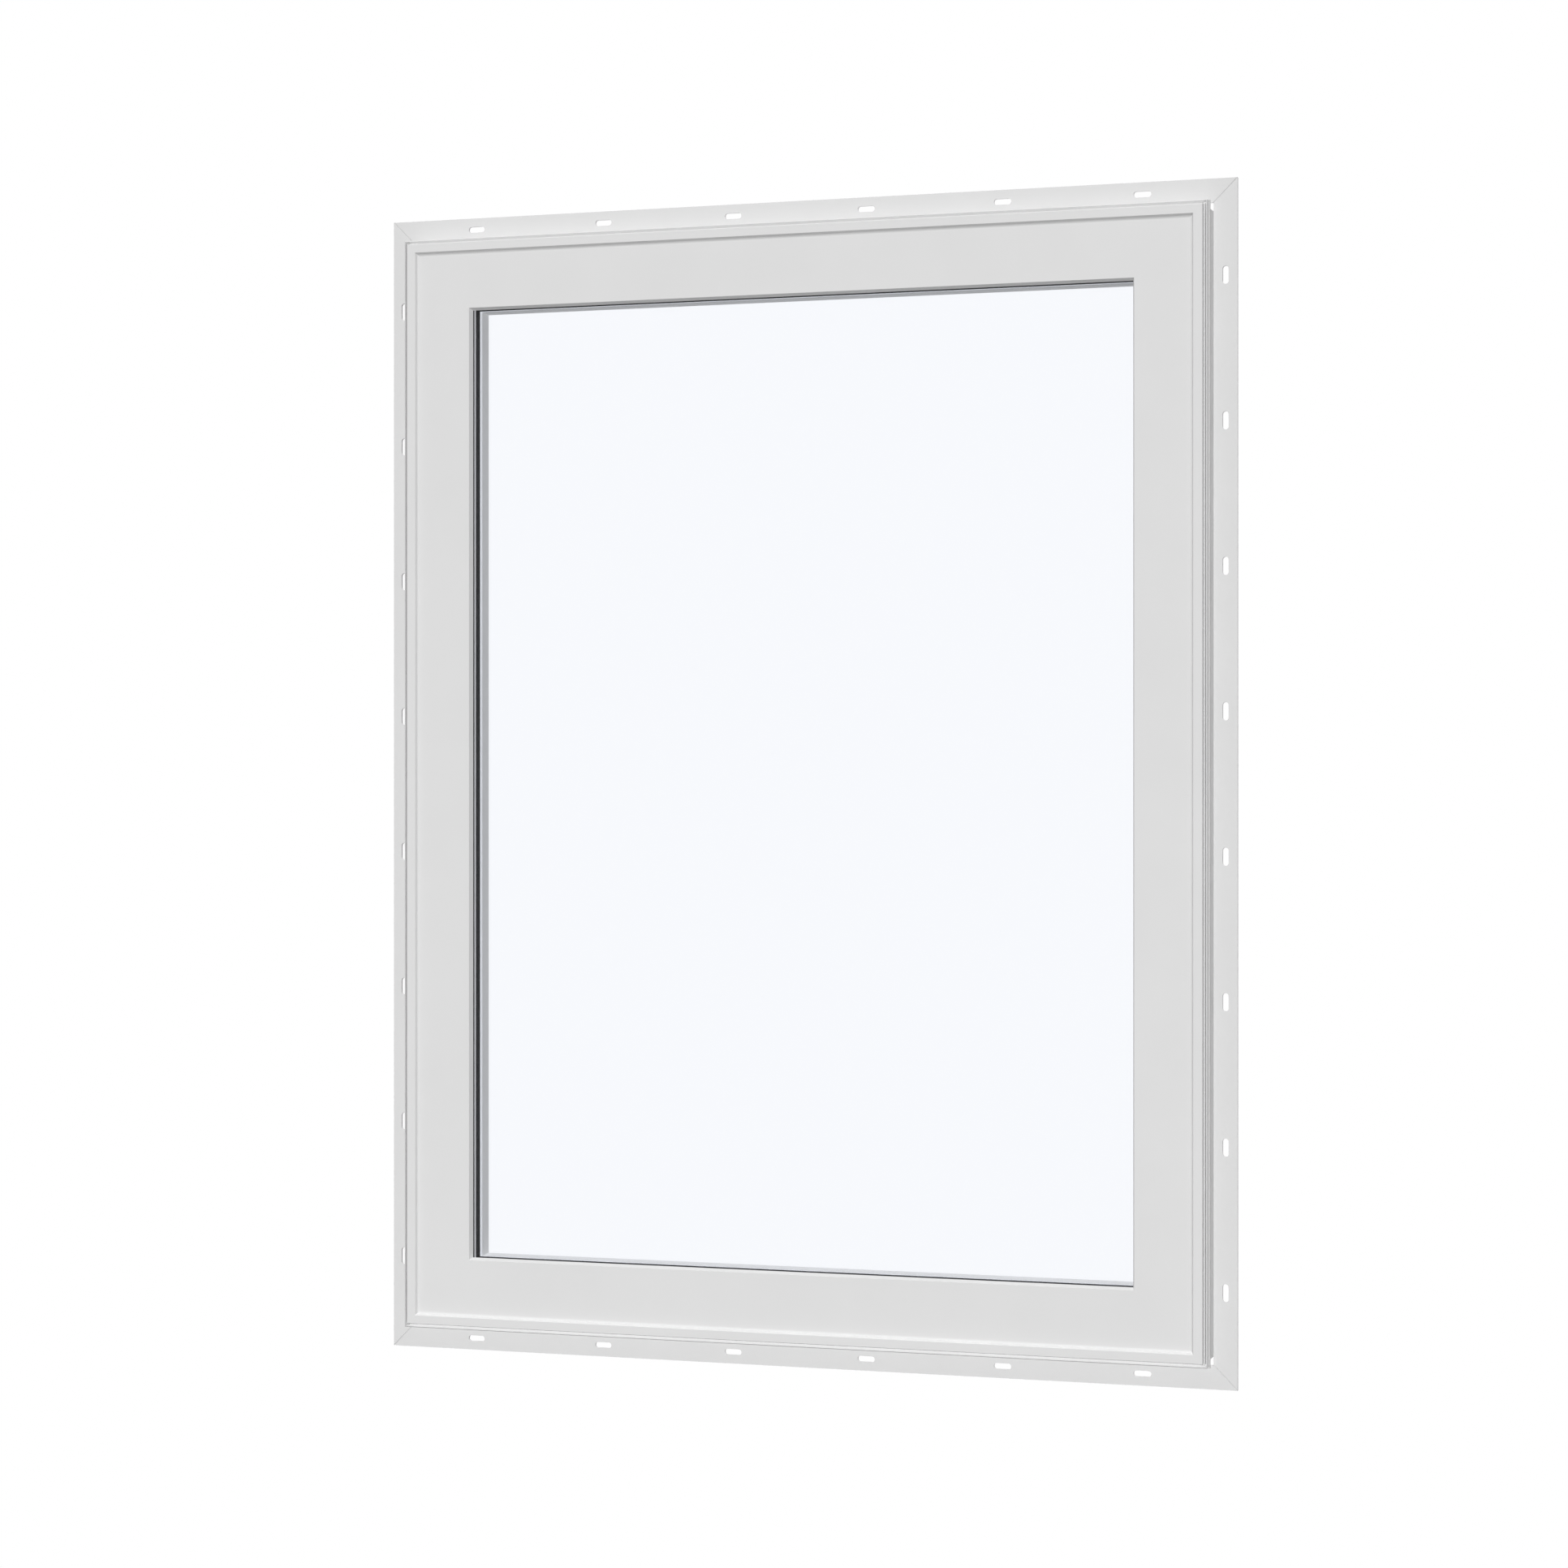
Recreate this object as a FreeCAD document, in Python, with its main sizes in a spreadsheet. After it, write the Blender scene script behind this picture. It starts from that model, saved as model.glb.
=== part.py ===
"""Fixed picture window with a perimeter nailing fin, as a parametric document in millimetres.

X runs along the width, Y from outdoors into the wall, and Z up. The origin is on the back face of the fin,
at the middle of the bottom row of nailing slots. Every bar is drawn in its own frame: x is the inset from the
outer face of the fin's leg, y is the depth from the back face of the fin, and z runs along the bar from its
middle.
"""

import FreeCAD, Part
import os
from math import pi

import Sketcher

# Each driving size: its alias, its value and what it measures.
SIZES = (
    ("unit_width", 914.4, "across the outer faces of the side fins' legs"),
    ("unit_height", 1219.2, "across the outer faces of the top and bottom fins' legs"),
    ("fin_width", 25.4, "nailing flange, from its outer edge to the leg"),
    ("fin_thick", 3.0, "nailing flange"),
    ("leg_thick", 2.0, "fin leg that stands along the frame"),
    ("leg_reach", 29.0, "fin leg, forward of the flange"),
    ("lip_thick", 1.15, "thin lip along the leg's front edge"),
    ("lip_reach", 7.7, "lip, forward of the leg's shoulder"),
    ("lip_break", 0.75, "bevel on the lip's outer edge"),
    ("notch_length", 10.0, "cut at each end of a leg"),
    ("notch_reach", 16.3, "cut at each end of a leg, forward of the flange"),
    ("tongue_setback", 6.5, "from the flange forward to the tongue"),
    ("tongue_thick", 3.0, "tongue that holds the fin in the frame"),
    ("kerf_depth", 6.0, "groove in the frame that takes the tongue"),
    ("fit_clear", 0.15, "clearance of a pressed tongue in its groove"),
    ("slot_edge", 12.7, "row of nailing slots from the flange's outer edge"),
    ("slot_length", 19.05, "nailing slot, over its round ends"),
    ("slot_width", 6.35, "nailing slot"),
    ("slot_pitch", 152.4, "from slot to slot"),
    ("slot_margin", 20.0, "least from a slot's end to the end of the fin"),
    ("groove_width", 2.1, "open groove between the fin's leg and the frame's outer wall"),
    ("wall_setback", 1.0, "step in from that wall to the wall behind the tongue"),
    ("front_reach", 32.6, "raised band, forward of the flange"),
    ("frame_depth", 82.6, "frame, from the raised band to its indoor face"),
    ("ledge_width", 1.1, "ledge in the groove, beside the raised band"),
    ("ledge_setback", 7.2, "from the raised band back to that ledge"),
    ("band_width", 10.3, "raised band round the face"),
    ("edge_break", 0.6, "bevel on the band's edges"),
    ("step_drop", 4.6, "from the raised band back to the main face"),
    ("step_batter", 1.1, "lean of the step's wall"),
    ("cove_rise", 1.0, "slope at the foot of the step"),
    ("cove_width", 2.7, "slope at the foot of the step"),
    ("face_width", 59.58, "main face, from the step to the daylight opening"),
    ("reveal_depth", 6.7, "slope from the main face in to the stop's nose"),
    ("reveal_batter", 2.25, "lean of that slope"),
    ("nose_return", 4.3, "from the stop's nose back to its seat for the gasket"),
    ("nose_overhang", 1.93, "stop's nose beyond the sight line"),
    ("back_break", 1.0, "bevel on the frame's indoor edges"),
    ("wall_thick", 2.4, "outer walls of the hollow frame"),
    ("web_thick", 1.8, "webs between the frame's chambers, and the bead's walls"),
    ("gasket_thick", 4.0, "outer gasket"),
    ("gasket_width", 6.6, "outer gasket"),
    ("pane_thick", 4.8, "each sheet of glass"),
    ("cavity", 11.0, "between the two sheets of glass"),
    ("edge_cover", 12.0, "glass edge hidden behind the sight line"),
    ("edge_clear", 4.0, "glass edge to the floor of its rebate"),
    ("block_length", 100.0, "setting block under the glass"),
    ("block_share", 0.25, "setting block from the middle, as a share of the glass width"),
    ("seal_thick", 1.4, "inner glazing seal"),
    ("seal_width", 8.0, "inner glazing seal"),
    ("bead_overhang", 0.1, "bead's edge beyond the sight line"),
    ("bead_batter", 1.3, "lean of the bead's edge"),
    ("bead_depth", 15.0, "bead's edge, from the seal to its crest"),
    ("bead_crest", 1.0, "bevel on the bead's crest"),
    ("bead_heel", 7.8, "from the bead's crest back to its heel"),
    ("foot_setback", 8.0, "from the bead's front to its foot"),
    ("foot_thick", 3.0, "foot that holds the bead in the frame"),
    ("snap_depth", 4.0, "groove in the frame that takes the foot"),
)

# Depths from the fin's back face, from outdoors to indoors, as expressions.
FIN_FRONT = "(-sizes.fin_thick)"
LIP_FRONT = f"({FIN_FRONT} - sizes.leg_reach)"
LIP_EDGE = f"({LIP_FRONT} + sizes.lip_break)"
SHOULDER = f"({LIP_FRONT} + sizes.lip_reach)"
NOTCH_FRONT = f"({FIN_FRONT} - sizes.notch_reach)"
TONGUE_BACK = f"({FIN_FRONT} - sizes.tongue_setback)"
TONGUE_FRONT = f"({TONGUE_BACK} - sizes.tongue_thick)"
KERF_BACK = f"({TONGUE_BACK} + sizes.fit_clear)"
KERF_FRONT = f"({TONGUE_FRONT} - sizes.fit_clear)"
BAND_FRONT = f"({FIN_FRONT} - sizes.front_reach)"
BAND_EDGE = f"({BAND_FRONT} + sizes.edge_break)"
LEDGE = f"({BAND_FRONT} + sizes.ledge_setback)"
FACE = f"({BAND_FRONT} + sizes.step_drop)"
STEP_FOOT = f"({FACE} - sizes.cove_rise)"
NOSE = f"({FACE} + sizes.reveal_depth)"
STOP_SEAT = f"({NOSE} + sizes.nose_return)"
GLASS_FRONT = f"({STOP_SEAT} + sizes.gasket_thick)"
CAVITY_FRONT = f"({GLASS_FRONT} + sizes.pane_thick)"
CAVITY_BACK = f"({CAVITY_FRONT} + sizes.cavity)"
GLASS_BACK = f"({CAVITY_BACK} + sizes.pane_thick)"
BEAD_FRONT = f"({GLASS_BACK} + sizes.seal_thick)"
BEAD_CREST = f"({BEAD_FRONT} + sizes.bead_depth)"
BEAD_TOP = f"({BEAD_CREST} + sizes.bead_crest)"
BEAD_HEEL = f"({BEAD_CREST} + sizes.bead_heel)"
FOOT_FRONT = f"({BEAD_FRONT} + sizes.foot_setback)"
FOOT_BACK = f"({FOOT_FRONT} + sizes.foot_thick)"
SNAP_FRONT = f"({FOOT_FRONT} - sizes.fit_clear)"
SNAP_BACK = f"({FOOT_BACK} + sizes.fit_clear)"
FRAME_BACK = f"({BAND_FRONT} + sizes.frame_depth)"
BACK_EDGE = f"({FRAME_BACK} - sizes.back_break)"

# Depths where the frame's chambers begin and end, each behind a wall or a web.
FACE_CHAMBER_END = f"({STOP_SEAT} - sizes.wall_thick)"
KERF_CHAMBER = f"({FACE_CHAMBER_END} + sizes.web_thick)"
KERF_CHAMBER_END = f"({KERF_BACK} + sizes.wall_thick)"
GLASS_CHAMBER = f"({KERF_CHAMBER_END} + sizes.web_thick)"
GLASS_CHAMBER_END = f"({SNAP_FRONT} - sizes.wall_thick)"
SNAP_CHAMBER = f"({GLASS_CHAMBER_END} + sizes.web_thick)"
SNAP_CHAMBER_END = f"({SNAP_BACK} + sizes.wall_thick)"
REAR_CHAMBER = f"({SNAP_CHAMBER_END} + sizes.web_thick)"
REAR_CHAMBER_END = f"({FRAME_BACK} - sizes.wall_thick)"

# Insets from the outer face of the fin's leg, from the wall to the glass, as expressions.
FLANGE_EDGE = "(-sizes.fin_width)"
SLOT_ROW = f"({FLANGE_EDGE} + sizes.slot_edge)"
LEG_INNER = "(sizes.leg_thick)"
LIP_OUTER = f"({LEG_INNER} - sizes.lip_thick)"
FRONT_WALL = f"({LEG_INNER} + sizes.groove_width)"
WALL = f"({FRONT_WALL} + sizes.wall_setback)"
KERF_FLOOR = f"({WALL} + sizes.kerf_depth)"
TONGUE_END = f"({KERF_FLOOR} - sizes.fit_clear)"
BAND_OUTER = f"({FRONT_WALL} + sizes.ledge_width)"
BAND_INNER = f"({BAND_OUTER} + sizes.band_width)"
STEP_INNER = f"({BAND_INNER} + sizes.step_batter)"
COVE_INNER = f"({STEP_INNER} + sizes.cove_width)"
OPENING = f"({COVE_INNER} + sizes.face_width)"
NOSE_TIP = f"({OPENING} + sizes.reveal_batter)"
SIGHT = f"({NOSE_TIP} - sizes.nose_overhang)"
GLASS_EDGE = f"({SIGHT} - sizes.edge_cover)"
REBATE = f"({GLASS_EDGE} - sizes.edge_clear)"
SNAP_FLOOR = f"({REBATE} - sizes.snap_depth)"
FOOT_END = f"({SNAP_FLOOR} + sizes.fit_clear)"
BEAD_BASE = f"({REBATE} + sizes.fit_clear)"
BEAD_EDGE = f"({SIGHT} + sizes.bead_overhang)"
BEAD_TIP = f"({BEAD_EDGE} + sizes.bead_batter)"
GASKET_EDGE = f"({SIGHT} - sizes.gasket_width)"
SEAL_EDGE = f"({BEAD_EDGE} - sizes.seal_width)"
FACE_MIDDLE = f"(({COVE_INNER} + {OPENING}) / 2)"
ZERO = "0"

# Insets of the chambers' sides.
BAND_CHAMBER = f"({BAND_OUTER} + sizes.wall_thick)"
WALL_CHAMBER = f"({WALL} + sizes.wall_thick)"
KERF_CHAMBER_SIDE = f"({KERF_FLOOR} + sizes.wall_thick)"
SNAP_CHAMBER_SIDE = f"({SNAP_FLOOR} - sizes.wall_thick)"
REBATE_CHAMBER = f"({REBATE} - sizes.wall_thick)"

# Heights of the bottom and top reference planes, which are the outer faces of the legs.
SILL_PLANE = "(sizes.fin_width - sizes.slot_edge)"
HEAD_PLANE = f"({SILL_PLANE} + sizes.unit_height)"
MIDDLE = f"({SILL_PLANE} + sizes.unit_height / 2)"

# Each side of the window: its turn about Y in degrees, the X and Z of its frame, and its length.
SIDES = {
    "head": (90, ZERO, HEAD_PLANE, "sizes.unit_width"),
    "sill": (-90, ZERO, SILL_PLANE, "sizes.unit_width"),
    "left_jamb": (0, "(-sizes.unit_width / 2)", MIDDLE, "sizes.unit_height"),
    "right_jamb": (180, "(sizes.unit_width / 2)", MIDDLE, "sizes.unit_height"),
}

FRAME_SECTION = (
    (WALL, BACK_EDGE),
    (WALL, KERF_BACK),
    (KERF_FLOOR, KERF_BACK),
    (KERF_FLOOR, KERF_FRONT),
    (FRONT_WALL, KERF_FRONT),
    (FRONT_WALL, LEDGE),
    (BAND_OUTER, LEDGE),
    (BAND_OUTER, BAND_EDGE),
    (f"{BAND_OUTER} + sizes.edge_break", BAND_FRONT),
    (f"{BAND_INNER} - sizes.edge_break", BAND_FRONT),
    (BAND_INNER, BAND_EDGE),
    (STEP_INNER, STEP_FOOT),
    (COVE_INNER, FACE),
    (OPENING, FACE),
    (NOSE_TIP, NOSE),
    (SIGHT, STOP_SEAT),
    (REBATE, STOP_SEAT),
    (REBATE, SNAP_FRONT),
    (SNAP_FLOOR, SNAP_FRONT),
    (SNAP_FLOOR, SNAP_BACK),
    (REBATE, SNAP_BACK),
    (REBATE, BACK_EDGE),
    (f"{REBATE} - sizes.back_break", FRAME_BACK),
    (f"{WALL} + sizes.back_break", FRAME_BACK),
)

FIN_SECTION = (
    (FLANGE_EDGE, ZERO),
    (LEG_INNER, ZERO),
    (LEG_INNER, TONGUE_BACK),
    (TONGUE_END, TONGUE_BACK),
    (TONGUE_END, TONGUE_FRONT),
    (LEG_INNER, TONGUE_FRONT),
    (LEG_INNER, LIP_FRONT),
    (f"{LIP_OUTER} + sizes.lip_break", LIP_FRONT),
    (LIP_OUTER, LIP_EDGE),
    (LIP_OUTER, SHOULDER),
    (ZERO, SHOULDER),
    (ZERO, FIN_FRONT),
    (FLANGE_EDGE, FIN_FRONT),
)

BEAD_SECTION = (
    (BEAD_BASE, BEAD_FRONT),
    (BEAD_EDGE, BEAD_FRONT),
    (BEAD_TIP, BEAD_CREST),
    (f"{BEAD_TIP} - sizes.bead_crest", BEAD_TOP),
    (BEAD_BASE, BEAD_HEEL),
    (BEAD_BASE, FOOT_BACK),
    (FOOT_END, FOOT_BACK),
    (FOOT_END, FOOT_FRONT),
    (BEAD_BASE, FOOT_FRONT),
)


def rectangle(x0, x1, y0, y1):
    """Return the four corners of a rectangle between two insets and two depths."""
    return ((x0, y0), (x1, y0), (x1, y1), (x0, y1))


# Hollow chambers of the frame: two behind the face, then four from the gasket's seat to the indoor face.
FRAME_CHAMBERS = (
    (
        (BAND_CHAMBER, f"{BAND_FRONT} + sizes.wall_thick"),
        (f"{BAND_INNER} - sizes.wall_thick", f"{BAND_FRONT} + sizes.wall_thick"),
        (STEP_INNER, f"{FACE} + sizes.wall_thick"),
        (f"{FACE_MIDDLE} - sizes.web_thick / 2", f"{FACE} + sizes.wall_thick"),
        (f"{FACE_MIDDLE} - sizes.web_thick / 2", FACE_CHAMBER_END),
        (BAND_CHAMBER, FACE_CHAMBER_END),
    ),
    rectangle(
        f"{FACE_MIDDLE} + sizes.web_thick / 2",
        f"{OPENING} - sizes.wall_thick",
        f"{FACE} + sizes.wall_thick",
        FACE_CHAMBER_END,
    ),
    rectangle(KERF_CHAMBER_SIDE, REBATE_CHAMBER, KERF_CHAMBER, KERF_CHAMBER_END),
    rectangle(WALL_CHAMBER, REBATE_CHAMBER, GLASS_CHAMBER, GLASS_CHAMBER_END),
    rectangle(WALL_CHAMBER, SNAP_CHAMBER_SIDE, SNAP_CHAMBER, SNAP_CHAMBER_END),
    rectangle(WALL_CHAMBER, REBATE_CHAMBER, REAR_CHAMBER, REAR_CHAMBER_END),
)

# The bead's one chamber follows its sloped indoor face.
BEAD_CHAMBER = (
    (f"{BEAD_BASE} + sizes.web_thick", f"{BEAD_FRONT} + sizes.web_thick"),
    (f"{BEAD_EDGE} - sizes.web_thick", f"{BEAD_FRONT} + sizes.web_thick"),
    (f"{BEAD_EDGE} - sizes.web_thick", f"{BEAD_CREST} - sizes.web_thick"),
    (f"{BEAD_BASE} + sizes.web_thick", f"{BEAD_HEEL} - 2 * sizes.web_thick"),
)

GASKET_SECTION = rectangle(GASKET_EDGE, SIGHT, STOP_SEAT, GLASS_FRONT)
SPACER_SECTION = rectangle(GLASS_EDGE, SIGHT, CAVITY_FRONT, CAVITY_BACK)
SEAL_SECTION = rectangle(SEAL_EDGE, BEAD_EDGE, GLASS_BACK, BEAD_FRONT)

# Each kind of bar: the outlines of its section, then its least and greatest inset.
BARS = {
    "frame": ((FRAME_SECTION, *FRAME_CHAMBERS), FRONT_WALL, NOSE_TIP),
    "nailing_fin": ((FIN_SECTION,), FLANGE_EDGE, TONGUE_END),
    "glazing_bead": ((BEAD_SECTION, BEAD_CHAMBER), FOOT_END, BEAD_TIP),
    "outer_gasket": ((GASKET_SECTION,), GASKET_EDGE, SIGHT),
    "inner_seal": ((SEAL_SECTION,), SEAL_EDGE, BEAD_EDGE),
    "glass_spacer": ((SPACER_SECTION,), GLASS_EDGE, SIGHT),
}

CUT_OVERRUN = "sizes.fin_thick"


def make_sheet(doc):
    """Write the driving sizes to a spreadsheet, one row each, with an alias."""
    sheet = doc.addObject("Spreadsheet::Sheet", "sizes")
    for row, (alias, value, meaning) in enumerate(SIZES, start=1):
        sheet.set(f"A{row}", meaning)
        sheet.set(f"B{row}", str(value))
        sheet.setAlias(f"B{row}", alias)
    doc.recompute()
    return sheet


def bind(obj, **expressions):
    """Bind properties of an object to expressions; a double underscore in a name stands for a dot."""
    for name, expression in expressions.items():
        obj.setExpression(name.replace("__", "."), expression)


def add_sketch(body, name, role):
    """Add a sketch to a body on the origin plane that has this role."""
    sketch = body.newObject("Sketcher::SketchObject", name)
    plane = next(feature for feature in body.Origin.OriginFeatures if feature.Role == role)
    sketch.AttachmentSupport = (plane, [""])
    sketch.MapMode = "FlatFace"
    return sketch


def value_of(sketch, expression):
    """Return the number that an expression has now."""
    return float(sketch.evalExpression(expression))


def pin_points(sketch, points):
    """Tie points of a sketch to two expressions each, measured from the sketch's origin."""
    constraints = []
    expressions = []
    for geometry, position, corner in points:
        for kind, expression in zip(("DistanceX", "DistanceY"), corner):
            value = value_of(sketch, expression)
            constraints.append(Sketcher.Constraint(kind, -1, 1, geometry, position, value))
            expressions.append(expression)
    for index, expression in zip(sketch.addConstraint(constraints), expressions):
        sketch.setExpression(f"Constraints[{index}]", expression)


def draw_polygon(sketch, corners):
    """Draw a closed polygon with every corner tied to its expressions."""
    points = [FreeCAD.Vector(value_of(sketch, x), value_of(sketch, y), 0) for x, y in corners]
    first = sketch.GeometryCount
    sides = [Part.LineSegment(start, end) for start, end in zip(points, points[1:] + points[:1])]
    sketch.addGeometry(sides)
    count = len(sides)
    sketch.addConstraint(
        [Sketcher.Constraint("Coincident", first + i, 2, first + (i + 1) % count, 1) for i in range(count)]
    )
    pin_points(sketch, [(first + i, 1, corner) for i, corner in enumerate(corners)])


def draw_slot(sketch, low, high, width):
    """Draw a slot with round ends: its two end centres and its width are tied to expressions."""
    x, z_low = (value_of(sketch, expression) for expression in low)
    z_high = value_of(sketch, high[1])
    radius = value_of(sketch, width) / 2
    normal = FreeCAD.Vector(0, 0, 1)
    right, top, left, bottom = sketch.addGeometry(
        [
            Part.LineSegment(FreeCAD.Vector(x + radius, z_low, 0), FreeCAD.Vector(x + radius, z_high, 0)),
            Part.ArcOfCircle(Part.Circle(FreeCAD.Vector(x, z_high, 0), normal, radius), 0, pi),
            Part.LineSegment(FreeCAD.Vector(x - radius, z_high, 0), FreeCAD.Vector(x - radius, z_low, 0)),
            Part.ArcOfCircle(Part.Circle(FreeCAD.Vector(x, z_low, 0), normal, radius), pi, 2 * pi),
        ]
    )
    ring = (right, top, left, bottom)
    for start, end in zip(ring, ring[1:] + ring[:1]):
        sketch.addConstraint(Sketcher.Constraint("Tangent", start, 2, end, 1))
    sketch.addConstraint(Sketcher.Constraint("Equal", top, bottom))
    index = sketch.addConstraint(Sketcher.Constraint("Radius", top, radius))
    sketch.setExpression(f"Constraints[{index}]", f"{width} / 2")
    pin_points(sketch, ((top, 3, high), (bottom, 3, low)))


def cut_through(body, name, sketch):
    """Cut a sketch's outlines through the whole body, both ways from its plane."""
    pocket = body.newObject("PartDesign::Pocket", name)
    pocket.Profile = sketch
    pocket.Type = "ThroughAll"
    pocket.SideType = "Symmetric"
    return pocket


def make_bar(doc, kind, side):
    """Make one mitred bar of the window from its section, and place it on its side."""
    outlines, least, greatest = BARS[kind]
    turn, base_x, base_z, length = SIDES[side]
    label = f"{kind}_{side}"
    body = doc.addObject("PartDesign::Body", label)
    body.Label = label

    section = add_sketch(body, f"{label}_section", "XY_Plane")
    for outline in outlines:
        draw_polygon(section, outline)
    pad = body.newObject("PartDesign::Pad", f"{label}_bar")
    pad.Profile = section
    pad.SideType = "Symmetric"
    bind(pad, Length=f"{length} - 2 * {least}")

    mitre = add_sketch(body, f"{label}_mitre", "XZ_Plane")
    for sign in ("", "-"):
        long_end = f"{sign}({length} / 2 - {least} + {CUT_OVERRUN})"
        short_end = f"{sign}({length} / 2 - {greatest} - {CUT_OVERRUN})"
        outer = f"{least} - {CUT_OVERRUN}"
        inner = f"{greatest} + {CUT_OVERRUN}"
        draw_polygon(mitre, ((outer, long_end), (inner, short_end), (inner, long_end)))
    cut_through(body, f"{label}_mitre_cut", mitre)

    body.Placement = FreeCAD.Placement(FreeCAD.Vector(), FreeCAD.Rotation(FreeCAD.Vector(0, 1, 0), turn))
    bind(body, Placement__Base__x=base_x, Placement__Base__z=base_z)
    return body


def notch_fin(body, length):
    """Cut the rear of the fin's leg away at both ends, where the legs of two fins meet."""
    notch = add_sketch(body, f"{body.Label}_notch", "YZ_Plane")
    for sign in ("", "-"):
        near = f"{sign}({length} / 2 - sizes.notch_length)"
        far = f"{sign}({length} / 2 + {CUT_OVERRUN})"
        draw_polygon(notch, rectangle(NOTCH_FRONT, CUT_OVERRUN, near, far))
    pocket = body.newObject("PartDesign::Pocket", f"{body.Label}_notch_cut")
    pocket.Profile = notch
    pocket.Reversed = True
    bind(pocket, Length=f"{TONGUE_END} + {CUT_OVERRUN}")


def slot_fin(body, length):
    """Cut the row of nailing slots through the flange, centred on its length."""
    count = (
        f"(floor(({length} + 2 * sizes.fin_width - 2 * sizes.slot_margin - sizes.slot_length)"
        " / sizes.slot_pitch) + 1)"
    )
    half_row = f"(({count} - 1) * sizes.slot_pitch / 2)"
    half_run = "((sizes.slot_length - sizes.slot_width) / 2)"
    low = (SLOT_ROW, f"-{half_row} - {half_run}")
    high = (SLOT_ROW, f"-{half_row} + {half_run}")
    slot = add_sketch(body, f"{body.Label}_slot", "XZ_Plane")
    draw_slot(slot, low, high, "sizes.slot_width")
    pocket = cut_through(body, f"{body.Label}_slot_cut", slot)
    row = body.newObject("PartDesign::LinearPattern", f"{body.Label}_slots")
    row.Originals = [pocket]
    row.Direction = (slot, ["V_Axis"])
    bind(row, Length=f"2 * {half_row}", Occurrences=count)
    body.Tip = row


def make_box(doc, label, size, corner):
    """Make a box from expressions for its three sizes and its lowest corner."""
    box = doc.addObject("Part::Box", label)
    box.Label = label
    bind(box, Length=size[0], Width=size[1], Height=size[2])
    bind(box, Placement__Base__x=corner[0], Placement__Base__y=corner[1], Placement__Base__z=corner[2])
    return box


def make_glass(doc):
    """Make the two sheets of glass and the two blocks that they stand on."""
    width = f"(sizes.unit_width - 2 * {GLASS_EDGE})"
    height = f"(sizes.unit_height - 2 * {GLASS_EDGE})"
    foot = f"({SILL_PLANE} + {GLASS_EDGE})"
    pieces = []
    for label, front in (("outer_pane", GLASS_FRONT), ("inner_pane", CAVITY_BACK)):
        size = (width, "sizes.pane_thick", height)
        pieces.append(make_box(doc, label, size, (f"-{width} / 2", front, foot)))
    for label, sign in (("setting_block_left", "-"), ("setting_block_right", "")):
        start = f"{sign}{width} * sizes.block_share - sizes.block_length / 2"
        size = ("sizes.block_length", f"{GLASS_BACK} - {GLASS_FRONT}", "sizes.edge_clear")
        pieces.append(make_box(doc, label, size, (start, GLASS_FRONT, f"{SILL_PLANE} + {REBATE}")))
    return pieces


def check(doc, pieces):
    """Stop if any object failed, or if a piece's shape is missing, invalid or not one solid."""
    for obj in doc.Objects:
        if "Invalid" in obj.State or "Error" in obj.State:
            raise RuntimeError(f"{obj.Label} failed: {obj.State}")
    for piece in pieces:
        shape = piece.Shape
        if shape.isNull() or not shape.isValid() or len(shape.Solids) != 1:
            raise RuntimeError(f"{piece.Label} is not one valid solid")


def main():
    """Build the window and write each piece to its own file."""
    doc = FreeCAD.newDocument("picture_window")
    make_sheet(doc)
    pieces = []
    for kind in BARS:
        for side in SIDES:
            body = make_bar(doc, kind, side)
            if kind == "nailing_fin":
                length = SIDES[side][3]
                notch_fin(body, length)
                slot_fin(body, length)
            pieces.append(body)
    pieces += make_glass(doc)
    doc.recompute()
    check(doc, pieces)
    os.makedirs("parts", exist_ok=True)
    for piece in pieces:
        piece.Shape.exportStep(f"parts/{piece.Label}.step")


main()
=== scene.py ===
"""Fixed picture window with a nailing fin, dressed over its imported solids.

Lengths in the classes are in millimetres and become metres where a mesh is made. A bar is drawn in
its own frame: x is the inset from the outer face of the fin's leg, y is the depth from the back of the
fin, with outdoors negative, and z runs along the bar from its middle.
"""

import logging
import math
from collections.abc import Iterator, Mapping, Sequence
from contextlib import contextmanager
from dataclasses import dataclass
from enum import Enum
from typing import Any, NamedTuple

import bmesh
import bpy
from bmesh.types import BMEdge, BMesh
from bpy.types import Material, Mesh, Node, NodeSocket, NodeTree, Object
from mathutils import Matrix, Vector
from mathutils.geometry import tessellate_polygon


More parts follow.
